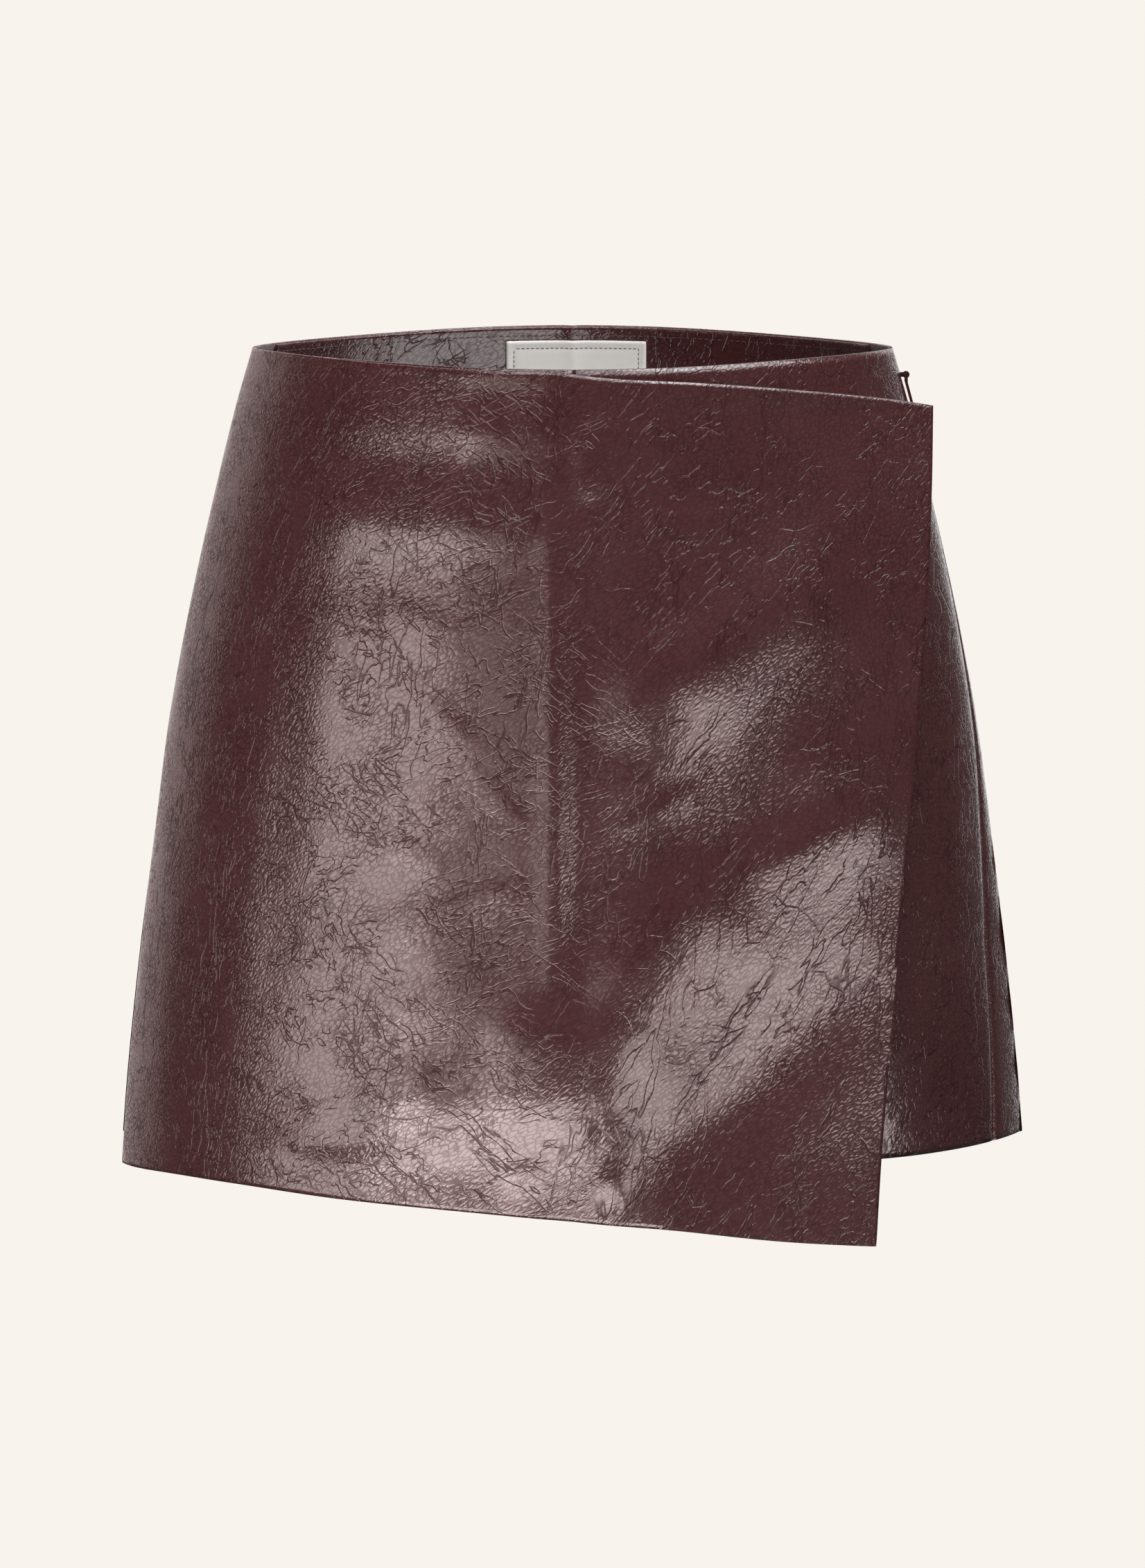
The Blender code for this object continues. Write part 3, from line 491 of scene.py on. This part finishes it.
def flap_rows(rows, columns):
    """Outer points of the wrap panel before its folds, row by row from its top edge."""
    share = np.linspace(0, 1, rows + 1)[:, None]
    across = np.linspace(-1, 1, 2 * FINE + 1)[None, :]
    top, hem = flap_end("top", across), flap_end("hem", across)
    z = top + (hem - top) * share
    ahead = ring("front", z) + FLAP_LIFT
    on_ring = np.clip(-across, 0, 1)
    ring_x = -ring("half_width", z) * on_ring
    ring_y = -ahead * np.sqrt(1 - on_ring**2) ** ring("front_pinch", z)

    s = np.clip(across, 0, 1)
    end_x, end_y = free_edge("x", z), free_edge("y", z)
    slope = np.radians(free_edge("slope_deg", z))
    reach = FREE_REACH * end_x
    curve_x = 3 * (1 - s) ** 2 * s * reach
    curve_x = curve_x + 3 * (1 - s) * s**2 * (end_x - reach * np.cos(slope)) + s**3 * end_x
    curve_y = (
        (1 - s) ** 2 * (1 + 2 * s) * -ahead
        + 3 * (1 - s) * s**2 * (end_y - reach * np.sin(slope))
        + s**3 * end_y
    )
    left = across < 0
    x, y = np.where(left, ring_x, curve_x), np.where(left, ring_y, curve_y)
    return even_rows(np.stack([x, y, z], axis=2), columns)


# ---- meshes ----
def add_mesh(name, points, faces, materials, slots=None, sharp_deg=50):
    mesh = bpy.data.meshes.new(name)
    mesh.from_pydata(np.asarray(points, float).tolist(), [], [list(map(int, f)) for f in faces])
    for material in materials:
        mesh.materials.append(material)
    if slots is not None:
        mesh.polygons.foreach_set("material_index", np.asarray(slots, dtype=np.int32))
    mesh.shade_smooth()
    mesh.set_sharp_from_angle(angle=math.radians(sharp_deg))
    thing = bpy.data.objects.new(name, mesh)
    SCENE.collection.objects.link(thing)
    return thing


def bands(rings, sides, first=0):
    """The quads between closed rings of points that follow each other."""
    faces = []
    for k in range(first, first + (rings - 1) * sides, sides):
        for i in range(sides):
            j = (i + 1) % sides
            faces.append((k + i, k + j, k + sides + j, k + sides + i))
    return faces


def around(rows, columns, inset=0):
    """The places of a grid's border, or of the line this many places inside it, once round."""
    top, bottom, left, right = inset, rows - 1 - inset, inset, columns - 1 - inset
    places = [(top, c) for c in range(left, right + 1)]
    places += [(r, right) for r in range(top + 1, bottom + 1)]
    places += [(bottom, c) for c in range(right - 1, left - 1, -1)]
    return places + [(r, left) for r in range(bottom - 1, top, -1)]


def shell(name, outer, inner, materials):
    """A closed wall between two grids with a rounded rim.  The first material is the outer face's
    and the rim's, and the second the inner face's."""
    rows, columns = outer.shape[:2]
    count = rows * columns
    number = np.arange(count).reshape(rows, columns)
    border = around(rows, columns)
    edge = np.array([number[b] for b in border])
    flat_out, flat_in = outer.reshape(-1, 3), inner.reshape(-1, 3)
    middle = (flat_out + flat_in)[edge] / 2
    into = np.array([
        outer[min(max(r, 1), rows - 2), min(max(c, 1), columns - 2)] - outer[r, c]
        for r, c in border
    ])
    thickness = np.linalg.norm((flat_out - flat_in)[edge], axis=1, keepdims=True)
    rim = middle - unit(into) * np.minimum(RIM_SHARE * thickness, RIM_MOST)
    points = np.concatenate([flat_out, flat_in, rim])

    corners = [number[:-1, :-1], number[:-1, 1:], number[1:, 1:], number[1:, :-1]]
    quads = np.stack(corners, axis=-1).reshape(-1, 4)
    # The outer face looks away from the inner one.
    one, two, three, four = (flat_out[quads[:, i]] for i in range(4))
    spans = np.cross(three - one, four - two)
    looks = np.sum(spans * (flat_out - flat_in)[quads[:, 0]], axis=1).sum()
    if looks < 0:
        quads = quads[:, ::-1]
    faces = [*quads, *(quads[:, ::-1] + count)]
    slots = [0] * len(quads) + [1] * len(quads)
    last = len(border)
    for i in range(last):
        j = (i + 1) % last
        a, b = edge[i], edge[j]
        rim_a, rim_b = 2 * count + i, 2 * count + j
        upper, lower = (a, b, rim_b, rim_a), (a + count, rim_a, rim_b, b + count)
        if looks > 0:
            upper, lower = upper[::-1], lower[::-1]
        faces += [upper, lower]
        slots += [0, 0]
    return add_mesh(name, points, faces, materials, slots, sharp_deg=70)


def mirrored(points):
    return points * (-1, 1, 1)


def mouth(z):
    """Half of the side seam's gap at the height z: it opens above the zip's slider."""
    opened = smoothstep(1 - z / (MOUTH_END * SLIDER_Z))
    return SEAM_GAP / 2 + (ZIP_MOUTH - SEAM_GAP / 2) * opened


def seam_dip(distance):
    """Cloth sinks a little beside a seam."""
    return -SEAM_DIP * np.exp(-((distance / SEAM_DIP_WIDE) ** 1.5))


def shorts_grids(panel, face, seam, folds, side, inset, zipped):
    """The outer and inner grids of one quarter.  face is -1 for a front, side is 1 for the right."""
    points, normals = panel
    seam_out, seam_forward = seam
    side_column = -1 if face < 0 else 0
    middle_column = 0 if face < 0 else -1
    to_side = np.linspace(0, 1, COLUMNS + 1) if face < 0 else np.linspace(1, 0, COLUMNS + 1)
    fade = smoothstep((1 - to_side) / FOLD_FADE) * smoothstep(to_side / FOLD_FADE)
    lift = relief(folds, side * points[:, :, 0], points[:, :, 2]) * fade[None, :]
    lift -= inset * smoothstep(to_side)[None, :]
    lift += seam_dip(distance_along(points)) + seam_dip(distance_along(points, False))

    out = normals.copy()
    out[:, side_column] = seam_out
    flat = unit(normals[:, middle_column] * (0, 1, 1))
    out[:CROTCH_ROW, middle_column] = flat[:CROTCH_ROW]
    below_crotch = normals[CROTCH_ROW:, middle_column]
    out[CROTCH_ROW:, middle_column] = unit(below_crotch * INNER_SEAM)
    mitre = 1 / np.clip(np.sum(out * normals, axis=2), LEAST_MITRE, 1.0)
    outer = points + out * (lift * mitre)[:, :, None]
    outer[:, :, 0] = np.maximum(outer[:, :, 0], SEAM_GAP / 2)
    outer[CROTCH_ROW:, middle_column, 1] += face * SEAM_GAP / 2
    gap = mouth(points[:, side_column, 2]) if zipped else np.full(ROWS + 1, SEAM_GAP / 2)
    shift = seam_forward * (-face * gap)[:, None]
    reach = np.exp(-distance_along(points, face > 0) / SEAM_REACH)
    outer += shift[:, None, :] * reach[:, :, None]
    inner = outer - out * (WALL * mitre)[:, :, None]
    inner[:, :, 0] = np.maximum(inner[:, :, 0], SEAM_GAP / 2)
    return (mirrored(outer), mirrored(inner)) if side < 0 else (outer, inner)


def flap_grids(seam):
    """The outer and inner grids of the wrap panel, sewn in at the left side seam."""
    points = flap_rows(*FLAP_GRID)
    normals = normals_of(points, FLAP_MIDDLE)
    from_seam = distance_along(points)
    folds = relief(FLAP_FOLDS, points[:, :, 0], points[:, :, 2])
    lift = folds * smoothstep(from_seam / FLAP_FADE)
    lift += seam_dip(from_seam)
    outer = points + normals * lift[:, :, None]
    out = normals.copy()
    seam_out, seam_forward = (mirrored(part) for part in seam)
    heights = -SHORTS_HEM * np.arange(ROWS + 1) / ROWS
    at = -np.clip(outer[:, 0, 2], SHORTS_HEM, 0)
    forward = np.zeros((len(at), 3))
    for axis in range(3):
        out[:, 0, axis] = np.interp(at, heights, seam_out[:, axis])
        forward[:, axis] = np.interp(at, heights, seam_forward[:, axis])
    outer[:, 0] += forward * SEAM_GAP / 2
    mitre = 1 / np.clip(np.sum(out * normals, axis=2), LEAST_MITRE, 1.0)
    return outer, outer - out * (WALL * mitre)[:, :, None]


# ---- materials ----
class Shader:
    """A few short ways to put shader nodes together."""

    def __init__(self, name, colour, roughness, metallic=0.0, specular=0.5):
        self.material = bpy.data.materials.new(name)
        self.material.use_nodes = True
        self.nodes = self.material.node_tree.nodes
        self.links = self.material.node_tree.links
        self.surface = self.nodes["Principled BSDF"]
        self.surface.inputs["Base Color"].default_value = (*colour, 1.0)
        self.surface.inputs["Roughness"].default_value = roughness
        self.surface.inputs["Metallic"].default_value = metallic
        self.surface.inputs["Specular IOR Level"].default_value = specular
        self.material.diffuse_color = (*colour, 1.0)
        self.place = self.nodes.new("ShaderNodeTexCoord").outputs["Object"]

    def put(self, socket, value):
        if isinstance(value, bpy.types.NodeSocket):
            self.links.new(value, socket)
        else:
            socket.default_value = value

    def math(self, operation, one, two=None):
        node = self.nodes.new("ShaderNodeMath")
        node.operation = operation
        self.put(node.inputs[0], one)
        if two is not None:
            self.put(node.inputs[1], two)
        return node.outputs[0]

    def most(self, values):
        most = values[0]
        for value in values[1:]:
            most = self.math("MAXIMUM", most, value)
        return most

    def times(self, one, two):
        return self.math("MULTIPLY", one, two)

    def axes(self, vector):
        node = self.nodes.new("ShaderNodeSeparateXYZ")
        self.links.new(vector, node.inputs[0])
        return node.outputs

    def ramp(self, value, low, high, to_low=0.0, to_high=1.0):
        node = self.nodes.new("ShaderNodeMapRange")
        node.interpolation_type = "SMOOTHSTEP"
        ends = {"From Min": low, "From Max": high, "To Min": to_low, "To Max": to_high}
        for name, end in ends.items():
            node.inputs[name].default_value = end
        self.put(node.inputs["Value"], value)
        return node.outputs["Result"]

    def turned(self, degrees, stretch, vector=None):
        """The place with its z axis leaned this far towards x, and measured shorter along it, so
        that noise is drawn out that way."""
        node = self.nodes.new("ShaderNodeMapping")
        node.vector_type = "TEXTURE"
        node.inputs["Rotation"].default_value = (0.0, math.radians(degrees), 0.0)
        node.inputs["Scale"].default_value = (1.0, 1.0, stretch)
        self.links.new(vector or self.place, node.inputs["Vector"])
        return node.outputs["Vector"]

    def noise(self, vector, scale, detail, output="Fac"):
        node = self.nodes.new("ShaderNodeTexNoise")
        self.links.new(vector, node.inputs["Vector"])
        node.inputs["Scale"].default_value = scale
        node.inputs["Detail"].default_value = detail
        return node.outputs[output]

    def vector_math(self, operation, one, two):
        node = self.nodes.new("ShaderNodeVectorMath")
        node.operation = operation
        self.put(node.inputs[0], one)
        self.put(node.inputs["Scale"] if operation == "SCALE" else node.inputs[1], two)
        return node.outputs[0]

    def warped(self, vector, scale, amount):
        """The vector moved about by noise, so that cells and lines bend."""
        noise = self.noise(vector, scale, 2.0, "Color")
        either_way = self.vector_math("SUBTRACT", noise, (0.5, 0.5, 0.5))
        return self.vector_math("ADD", vector, self.vector_math("SCALE", either_way, amount))

    def edges(self, vector, scale):
        """How far inside its cell each place lies, in cells of this many to the metre."""
        node = self.nodes.new("ShaderNodeTexVoronoi")
        node.feature = "DISTANCE_TO_EDGE"
        self.links.new(vector, node.inputs["Vector"])
        node.inputs["Scale"].default_value = scale
        return node.outputs["Distance"]

    def mix(self, share, one, two):
        node = self.nodes.new("ShaderNodeMix")
        node.data_type = "RGBA"
        self.put(node.inputs["Factor"], share)
        for socket, value in ((node.inputs[6], one), (node.inputs[7], two)):
            self.put(socket, value if isinstance(value, bpy.types.NodeSocket) else (*value, 1.0))
        return node.outputs[2]

    def bump(self, height, distance, strength=1.0):
        node = self.nodes.new("ShaderNodeBump")
        node.inputs["Strength"].default_value = strength
        node.inputs["Distance"].default_value = distance
        self.links.new(height, node.inputs["Height"])
        return node.outputs["Normal"]

    def link(self, value, *names):
        for name in names:
            self.links.new(value, self.surface.inputs[name])


def leather(name, turn):
    """Coated cloth with a fine pebble grain, thin creases that differ between the left and the right
    half, and an open net of longer lines in patches.  The coat is dull in all of them, and their
    colour is darkened there as painted shade."""
    s = Shader(name, LEATHER, LEATHER_ROUGHNESS[0], specular=LEATHER_SPECULAR)
    s.surface.inputs["Coat Roughness"].default_value = COAT_ROUGHNESS
    s.surface.inputs["Coat IOR"].default_value = COAT_IOR
    broad = s.noise(s.place, BROAD_SCALE, 1.0)
    patches = s.noise(s.place, PATCH_SCALE, 2.0)
    to_right = s.ramp(s.math("ADD", s.axes(s.place)["X"], s.times(broad, HALVES_BENT)), *HALVES)
    strength = {"left": s.math("SUBTRACT", 1.0, to_right), "right": to_right, "both": BOTH_HALVES}
    bent = s.warped(s.place, *BEND)

    skin = s.turned(turn + PEBBLES["turn"], PEBBLES["stretch"], s.warped(s.place, *SKIN_BEND))
    cell = s.edges(skin, PEBBLES["scale"])
    gaps = s.times(s.ramp(cell, 0.0, PEBBLES["gap"], 1.0, 0.0), s.ramp(patches, *PEBBLE_PATCHES))
    net = s.edges(s.turned(turn + NET["turn"], NET["stretch"], bent), NET["scale"])
    net = s.times(s.ramp(net, 0.0, NET["width"], NET["strength"], 0.0), s.ramp(patches, *NET_PATCHES))

    creases = []
    for row in CREASES:
        crease = dict(zip(CREASE_COLUMNS, row))
        drawn_out = s.turned(turn + crease["lean_deg"], crease["stretch"], bent)
        # A crease lies where the noise passes its middle value.
        noise = s.noise(drawn_out, crease["scale"], 1.5)
        off = s.math("ABSOLUTE", s.math("SUBTRACT", noise, 0.5))
        held = s.noise(drawn_out, crease["scale"] * CREASE_PATCHES, 0.0)
        line = s.ramp(off, 0.0, crease["width"], 1.0, 0.0)
        line = s.times(line, s.ramp(held, crease["from"], crease["to"]))
        creases.append(s.times(line, strength[crease["half"]]))
    lines = s.most([*creases, net])
    # Where the creases and gaps lie, the coat is dull and the colour gets painted shade.
    dull_and_shaded = s.most([lines, gaps])

    shade = s.mix(s.ramp(broad, 0.25, 0.75), LEATHER, LEATHER_WARM)
    # Painted shade: the creases and the pebbles' gaps are darkened towards the deep colour.
    s.link(s.mix(s.times(dull_and_shaded, CREASE_SHADE_SHARE), shade, LEATHER_CREASE_SHADE), "Base Color")
    s.link(s.ramp(broad, 0.3, 0.7, *LEATHER_ROUGHNESS), "Roughness")
    s.link(s.math("SUBTRACT", 1.0, s.times(dull_and_shaded, CREASE_COAT)), "Coat Weight")
    rolling = s.times(s.noise(bent, ROLL_SCALE, 1.5), s.ramp(to_right, 0.0, 1.0, *ROLL_RELIEF))
    domes = s.times(s.ramp(cell, 0.0, PEBBLES["dome"]), PEBBLES["relief"])
    cut = s.times(lines, s.ramp(to_right, 0.0, 1.0, *CUT_RELIEF))
    relief_mm = s.math("SUBTRACT", s.math("ADD", rolling, domes), cut)
    s.link(s.bump(relief_mm, MM), "Normal", "Coat Normal")
    return s.material


def woven(name, light, dark, threads_mm, roughness, depth_mm, sheen):
    """Plain weave with threads this wide, on the axes that run across and down."""
    s = Shader(name, light, roughness, specular=0.3)
    axes = s.axes(s.warped(s.place, 90.0, 0.0006))
    turns = math.pi / (threads_mm * MM)
    across = s.math("ADD", axes["X"], s.times(axes["Y"], 0.8))
    waves = [s.math("SINE", s.times(way, turns)) for way in (across, axes["Z"])]
    weave = s.times(*waves)
    s.link(s.mix(s.ramp(weave, -1.0, 1.0), dark, light), "Base Color")
    s.surface.inputs["Sheen Weight"].default_value = sheen
    s.link(s.bump(weave, depth_mm * MM, 0.7), "Normal")
    return s.material


def thread(name, colour):
    s = Shader(name, colour, 0.55, specular=0.4)
    twist = s.noise(s.turned(40.0, 0.3), 1800.0, 1.0)
    s.link(s.mix(twist, [c * 0.6 for c in colour], colour), "Base Color")
    s.link(s.bump(twist, 0.1 * MM, 0.6), "Normal")
    return s.material


def dyed_metal(name, colour, roughness):
    s = Shader(name, colour, roughness, metallic=0.55)
    wear = s.ramp(s.noise(s.place, 900.0, 3.0), 0.55, 0.75)
    patches = s.noise(s.place, 500.0, 2.0)
    s.link(s.mix(wear, colour, [min(1.0, c * 2.2) for c in colour]), "Base Color")
    s.link(s.ramp(patches, 0.3, 0.7, roughness - 0.08, roughness + 0.12), "Roughness")
    s.link(s.bump(wear, 0.02 * MM, 0.5), "Normal")
    return s.material


# ---- pieces ----
def between(values, at):
    """Entries of an array at fractional places along its first axis."""
    low = np.clip(np.floor(at).astype(int), 0, len(values) - 2)
    share = (np.asarray(at) - low).reshape(-1, *([1] * (values.ndim - 1)))
    return values[low] * (1 - share) + values[low + 1] * share


def between_points(values, line, distances):
    """Entries of an array at these distances along the line of points that they belong to."""
    return between(values, np.interp(distances, travelled(line), np.arange(len(line))))


def rows_between(surface, high, low, count, at=0.5):
    """count rows at even heights down one of a grid's columns, the middle one unless it is said."""
    heights = surface[:, int(surface.shape[1] * at), 2]
    wanted = np.linspace(-high, -low, count)
    return between(surface, np.interp(wanted, -heights, np.arange(len(heights))))


def inward(surface):
    """A surface's normals, towards the inside of the garment."""
    return -normals_of(surface, BODY_MIDDLE)


def laid_on(surface, skip, thickness):
    """A wall inside the garment that lies this far off a surface."""
    normals = inward(surface)
    outer = surface + normals * skip
    return outer, outer + normals * thickness


def stitches(name, line, normals, material, length, pitch, radius):
    """Short threads along a line of points, each sunk at both ends."""
    points, faces = [], []
    bend = np.sin(np.linspace(0, math.pi, STITCH_RINGS))
    deep, rise = STITCH_SUNK
    for start in np.arange(0.5 * pitch, travelled(line)[-1] - length, pitch):
        at = start + np.linspace(0, length, STITCH_RINGS)
        middle = between_points(line, line, at)
        up = unit(between_points(normals, line, at))
        across = unit(np.cross(up, unit(middle[-1:] - middle[:1])))
        base = len(points)
        for k in range(STITCH_RINGS):
            wide = radius * (STITCH_ENDS + (1 - STITCH_ENDS) * bend[k] ** 0.5)
            core = middle[k] + up[k] * radius * (rise * bend[k] - deep)
            for a in np.linspace(0, 2 * math.pi, STITCH_SIDES, endpoint=False):
                points.append(core + wide * (math.cos(a) * across[k] + math.sin(a) * up[k]))
        faces += bands(STITCH_RINGS, STITCH_SIDES, base)
        faces.append(range(base + STITCH_SIDES - 1, base - 1, -1))
        faces.append(range(len(points) - STITCH_SIDES, len(points)))
    return add_mesh(name, points, faces, [material])


def coil(name, line, normals, material, side):
    """The zip's spiral along one tape's edge."""
    length = travelled(line)[-1]
    count = int(length / COIL_PITCH) * COIL_STEPS
    at = np.linspace(0, length, count)
    middle = between_points(line, line, at)
    up = unit(between_points(normals, line, at))
    along = unit(np.gradient(middle, axis=0))
    across = unit(np.cross(up, along)) * side
    turn = 2 * math.pi * np.arange(count)[:, None] / COIL_STEPS
    wide, tall = COIL_OVAL
    path = middle + COIL_RADIUS * (wide * np.cos(turn) * across + tall * np.sin(turn) * up)
    tangent = unit(np.gradient(path, axis=0))
    one = unit(np.cross(tangent, along))
    two = np.cross(tangent, one)
    points = np.concatenate([
        path + COIL_WIRE * (math.cos(a) * one + math.sin(a) * two)
        for a in np.linspace(0, 2 * math.pi, COIL_SIDES, endpoint=False)
    ])
    faces = []
    for k in range(count - 1):
        for i in range(COIL_SIDES):
            a, b = i * count + k, (i + 1) % COIL_SIDES * count + k
            faces.append((a, b, b + 1, a + 1))
    return add_mesh(name, points, faces, [material])


def place(thing, slot, *nodes):
    if nodes:
        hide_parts(*nodes)
    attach(thing, "garment")


def panels():
    """The five panels; their grids are handed back for what lies on them."""
    backing = woven("backing", *BACKING, *BACKING_WEAVE)
    plain, ahead = half_shorts(0.0), half_shorts(1.0)
    plain_seam, ahead_seam = seam_frames(*plain), seam_frames(*ahead)
    grids = {
        "front_flap": flap_grids(plain_seam),
        "front_left": shorts_grids(plain[0], -1, plain_seam, LEFT_FRONT_FOLDS, -1, UNDER_INSET, False),
        "front_right": shorts_grids(ahead[0], -1, ahead_seam, RIGHT_FRONT_FOLDS, 1, 0.0, True),
        "back_left": shorts_grids(plain[1], 1, plain_seam, BACK_FOLDS, -1, 0.0, False),
        "back_right": shorts_grids(ahead[1], 1, ahead_seam, BACK_FOLDS, 1, 0.0, True),
    }
    for number, (name, (outer, inner)) in enumerate(grids.items()):
        face = leather(f"{name}_leather", 3.0 * number)
        thing = shell(f"{name}_cloth", outer, inner, [face, backing])
        place(thing, name, name)
    return grids


def facing(grids):
    """The back facing with its topstitching; its inner grid is handed back for the label."""
    left_in, right_in = grids["back_left"][1], grids["back_right"][1]
    middle = (left_in[:, -1:] + right_in[:, -1:]) / 2
    across_back = np.concatenate([left_in[:, :-1], middle, right_in[:, -2::-1]], axis=1)
    rows = rows_between(across_back, -FACING_TOP, -FACING_DEPTH, FACING_ROWS)
    outer, inner = laid_on(rows[:, FACING_MARGIN:-FACING_MARGIN], GAP, FACING_WALL)
    looks = [leather("facing_leather", 6.0), leather("facing_turn", 12.0)]
    thing = shell("facing_cloth", inner, outer, looks)
    place(thing, "back_facing", "back_facing")
    normals = inward(inner)[FACING_STITCH_ROW]
    line = inner[FACING_STITCH_ROW] + normals * FACING_STITCH_LIFT
    dark = thread("thread_dark", THREAD)
    seam = stitches("facing_stitches", line, normals, dark, *FACING_STITCH)
    place(seam, "back_facing")
    return inner


def label(facing_inner):
    wide, tall = LABEL_SIZE
    right, below = LABEL_PLACE
    tall_count, wide_count = LABEL_GRID
    rows = rows_between(facing_inner, -below, -below - tall, tall_count)
    places = np.linspace(right - wide / 2, right + wide / 2, wide_count)
    surface = np.array([
        between(row, np.interp(places, row[:, 0], np.arange(len(row)))) for row in rows
    ])
    outer, inner = laid_on(surface, GAP, LABEL_WALL)
    normals = inward(inner)
    across, down = np.arange(wide_count)[None, :], np.arange(tall_count)[:, None]
    from_side = np.minimum(across, wide_count - 1 - across) * (wide / (wide_count - 1))
    from_end = np.minimum(down, tall_count - 1 - down) * (tall / (tall_count - 1))
    from_edge = np.minimum(from_side, from_end)
    sink = LABEL_SINK * np.exp(-(((from_edge - LABEL_SINK_AT) / LABEL_SINK_WIDE) ** 2))
    inner = inner - normals * sink[:, :, None]
    weave = woven("label_weave", *LABEL_CLOTH, *LABEL_WEAVE)
    thing = shell("label_cloth", inner, outer, [weave, weave])
    place(thing, "label", "label")
    border = around(*LABEL_GRID, LABEL_INSET)
    border.append(border[0])
    line, up = (np.array([grid[at] for at in border]) for grid in (inner, normals))
    grey = thread("thread_grey", LABEL_THREAD)
    seam = stitches("label_stitches", line, up, grey, *LABEL_STITCH)
    place(seam, "label")


def zip_pieces(grids):
    weave = woven("tape_weave", *TAPE_CLOTH, *TAPE_WEAVE)
    plastic = Shader("coil_plastic", TAPE_CLOTH[0], 0.4).material
    edges = {
        "zip_tape_front": ("front_right", grids["front_right"][1][:, ::-1], -1),
        "zip_tape_back": ("back_right", grids["back_right"][1], 1),
    }
    for name, (panel, surface, side) in edges.items():
        rows = rows_between(surface, *TAPE_SPAN, TAPE_ROWS, at=0.0)
        places = np.linspace(TAPE_START, TAPE_START + TAPE_WIDTH, TAPE_PLACES)
        tape_surface = np.array([between_points(row, row, places) for row in rows])
        outer, inner = laid_on(tape_surface, GAP, TAPE_WALL)
        tape = shell(f"{name}_cloth", outer, inner, [weave, weave])
        place(tape, name, name)
        normals = inward(inner)[COIL_TOP_ROW:, 0]
        line = inner[COIL_TOP_ROW:, 0] + normals * COIL_LIFT
        teeth = coil(f"{name}_coil", line, normals, plastic, side)
        place(teeth, name)


def hard_pieces():
    for name, roughness in METAL_ROUGHNESS.items():
        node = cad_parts[name]
        node.data.materials.clear()
        node.data.materials.append(dyed_metal(f"{name}_metal", METAL, roughness))


# ---- the studio ----
def only_seen(thing):
    """The camera sees it, and it neither lights nor reflects."""
    thing.visible_diffuse = False
    thing.visible_glossy = False
    thing.visible_transmission = False
    thing.visible_shadow = False


def glow(name, colour, one_sided):
    """A face that shines evenly, and is clear from behind where it is one-sided."""
    material = bpy.data.materials.new(name)
    material.use_nodes = True
    nodes, links = material.node_tree.nodes, material.node_tree.links
    nodes.clear()
    output = nodes.new("ShaderNodeOutputMaterial")
    light = nodes.new("ShaderNodeEmission")
    light.inputs["Color"].default_value = (*colour, 1.0)
    face = light.outputs[0]
    if one_sided:
        clear = nodes.new("ShaderNodeBsdfTransparent")
        choice = nodes.new("ShaderNodeMixShader")
        side = nodes.new("ShaderNodeNewGeometry")
        links.new(side.outputs["Backfacing"], choice.inputs[0])
        links.new(face, choice.inputs[1])
        links.new(clear.outputs[0], choice.inputs[2])
        face = choice.outputs[0]
    links.new(face, output.inputs["Surface"])
    return material


def circle(radius, z, sides):
    angles = np.linspace(0, 2 * math.pi, sides, endpoint=False)
    return [(radius * math.cos(a), radius * math.sin(a), z) for a in angles]


def stage():
    world = bpy.data.worlds.new("studio")
    SCENE.world = world
    world.use_nodes = True
    background = world.node_tree.nodes["Background"]
    background.inputs["Color"].default_value = (*WORLD_COLOUR, 1.0)
    background.inputs["Strength"].default_value = WORLD_STRENGTH

    points = circle(FLOOR_RADIUS, FLOOR_Z, FLOOR_SIDES)
    floor_pale = glow("floor_pale", BACKDROP, True)
    floor = add_mesh("floor", points, [range(FLOOR_SIDES)], [floor_pale])
    points = []
    for p in np.linspace(DOME_POLE, math.pi - DOME_POLE, DOME_RINGS):
        points += circle(DOME_RADIUS * math.sin(p), DOME_RADIUS * math.cos(p), DOME_SIDES)
    faces = bands(DOME_RINGS, DOME_SIDES)
    faces += [range(DOME_SIDES), range(len(points) - DOME_SIDES, len(points))]
    dome = add_mesh("backdrop", points, faces, [glow("backdrop_pale", BACKDROP, False)])
    for thing in (floor, dome):
        only_seen(thing)


def aimed(name, data, place, towards):
    thing = bpy.data.objects.new(name, data)
    SCENE.collection.objects.link(thing)
    thing.location = place
    thing.rotation_euler = towards.to_track_quat("-Z", "Y").to_euler()
    return thing


def soft_box(name, wide, tall, bright, place, towards):
    data = bpy.data.lights.new(name, "AREA")
    data.shape = "RECTANGLE"
    data.size, data.size_y = wide, tall
    data.energy = bright * math.pi * wide * tall
    thing = aimed(name, data, place, towards)
    thing.visible_camera = False
    return thing


def lights():
    for row in LIGHTS:
        light = dict(zip(LIGHT_COLUMNS, row))
        a, e = math.radians(light["azimuth"]), math.radians(light["elevation"])
        away = Vector((math.sin(a) * math.cos(e), -math.cos(a) * math.cos(e), math.sin(e)))
        sizes = (light["wide"], light["tall"], light["bright"])
        box = soft_box(light["name"], *sizes, CAMERA_TARGET + away * light["distance"], -away)
        box.visible_diffuse = light["lit"]
        if light["warm"]:
            box.data.color = WARM
    soft_box("inner", *INNER_SIZE, INNER_BRIGHT, INNER_PLACE, Vector(INNER_TOWARDS))


def camera():
    data = bpy.data.cameras.new("camera")
    data.lens = CAMERA_LENS
    data.sensor_width = CAMERA_SENSOR
    away = Vector((0.0, -math.cos(CAMERA_ELEVATION), math.sin(CAMERA_ELEVATION)))
    SCENE.camera = aimed("camera", data, CAMERA_TARGET + away * CAMERA_DISTANCE, -away)
    SCENE.view_settings.view_transform = "Standard"


camera()
stage()
lights()
grids = panels()
label(facing(grids))
zip_pieces(grids)
hard_pieces()
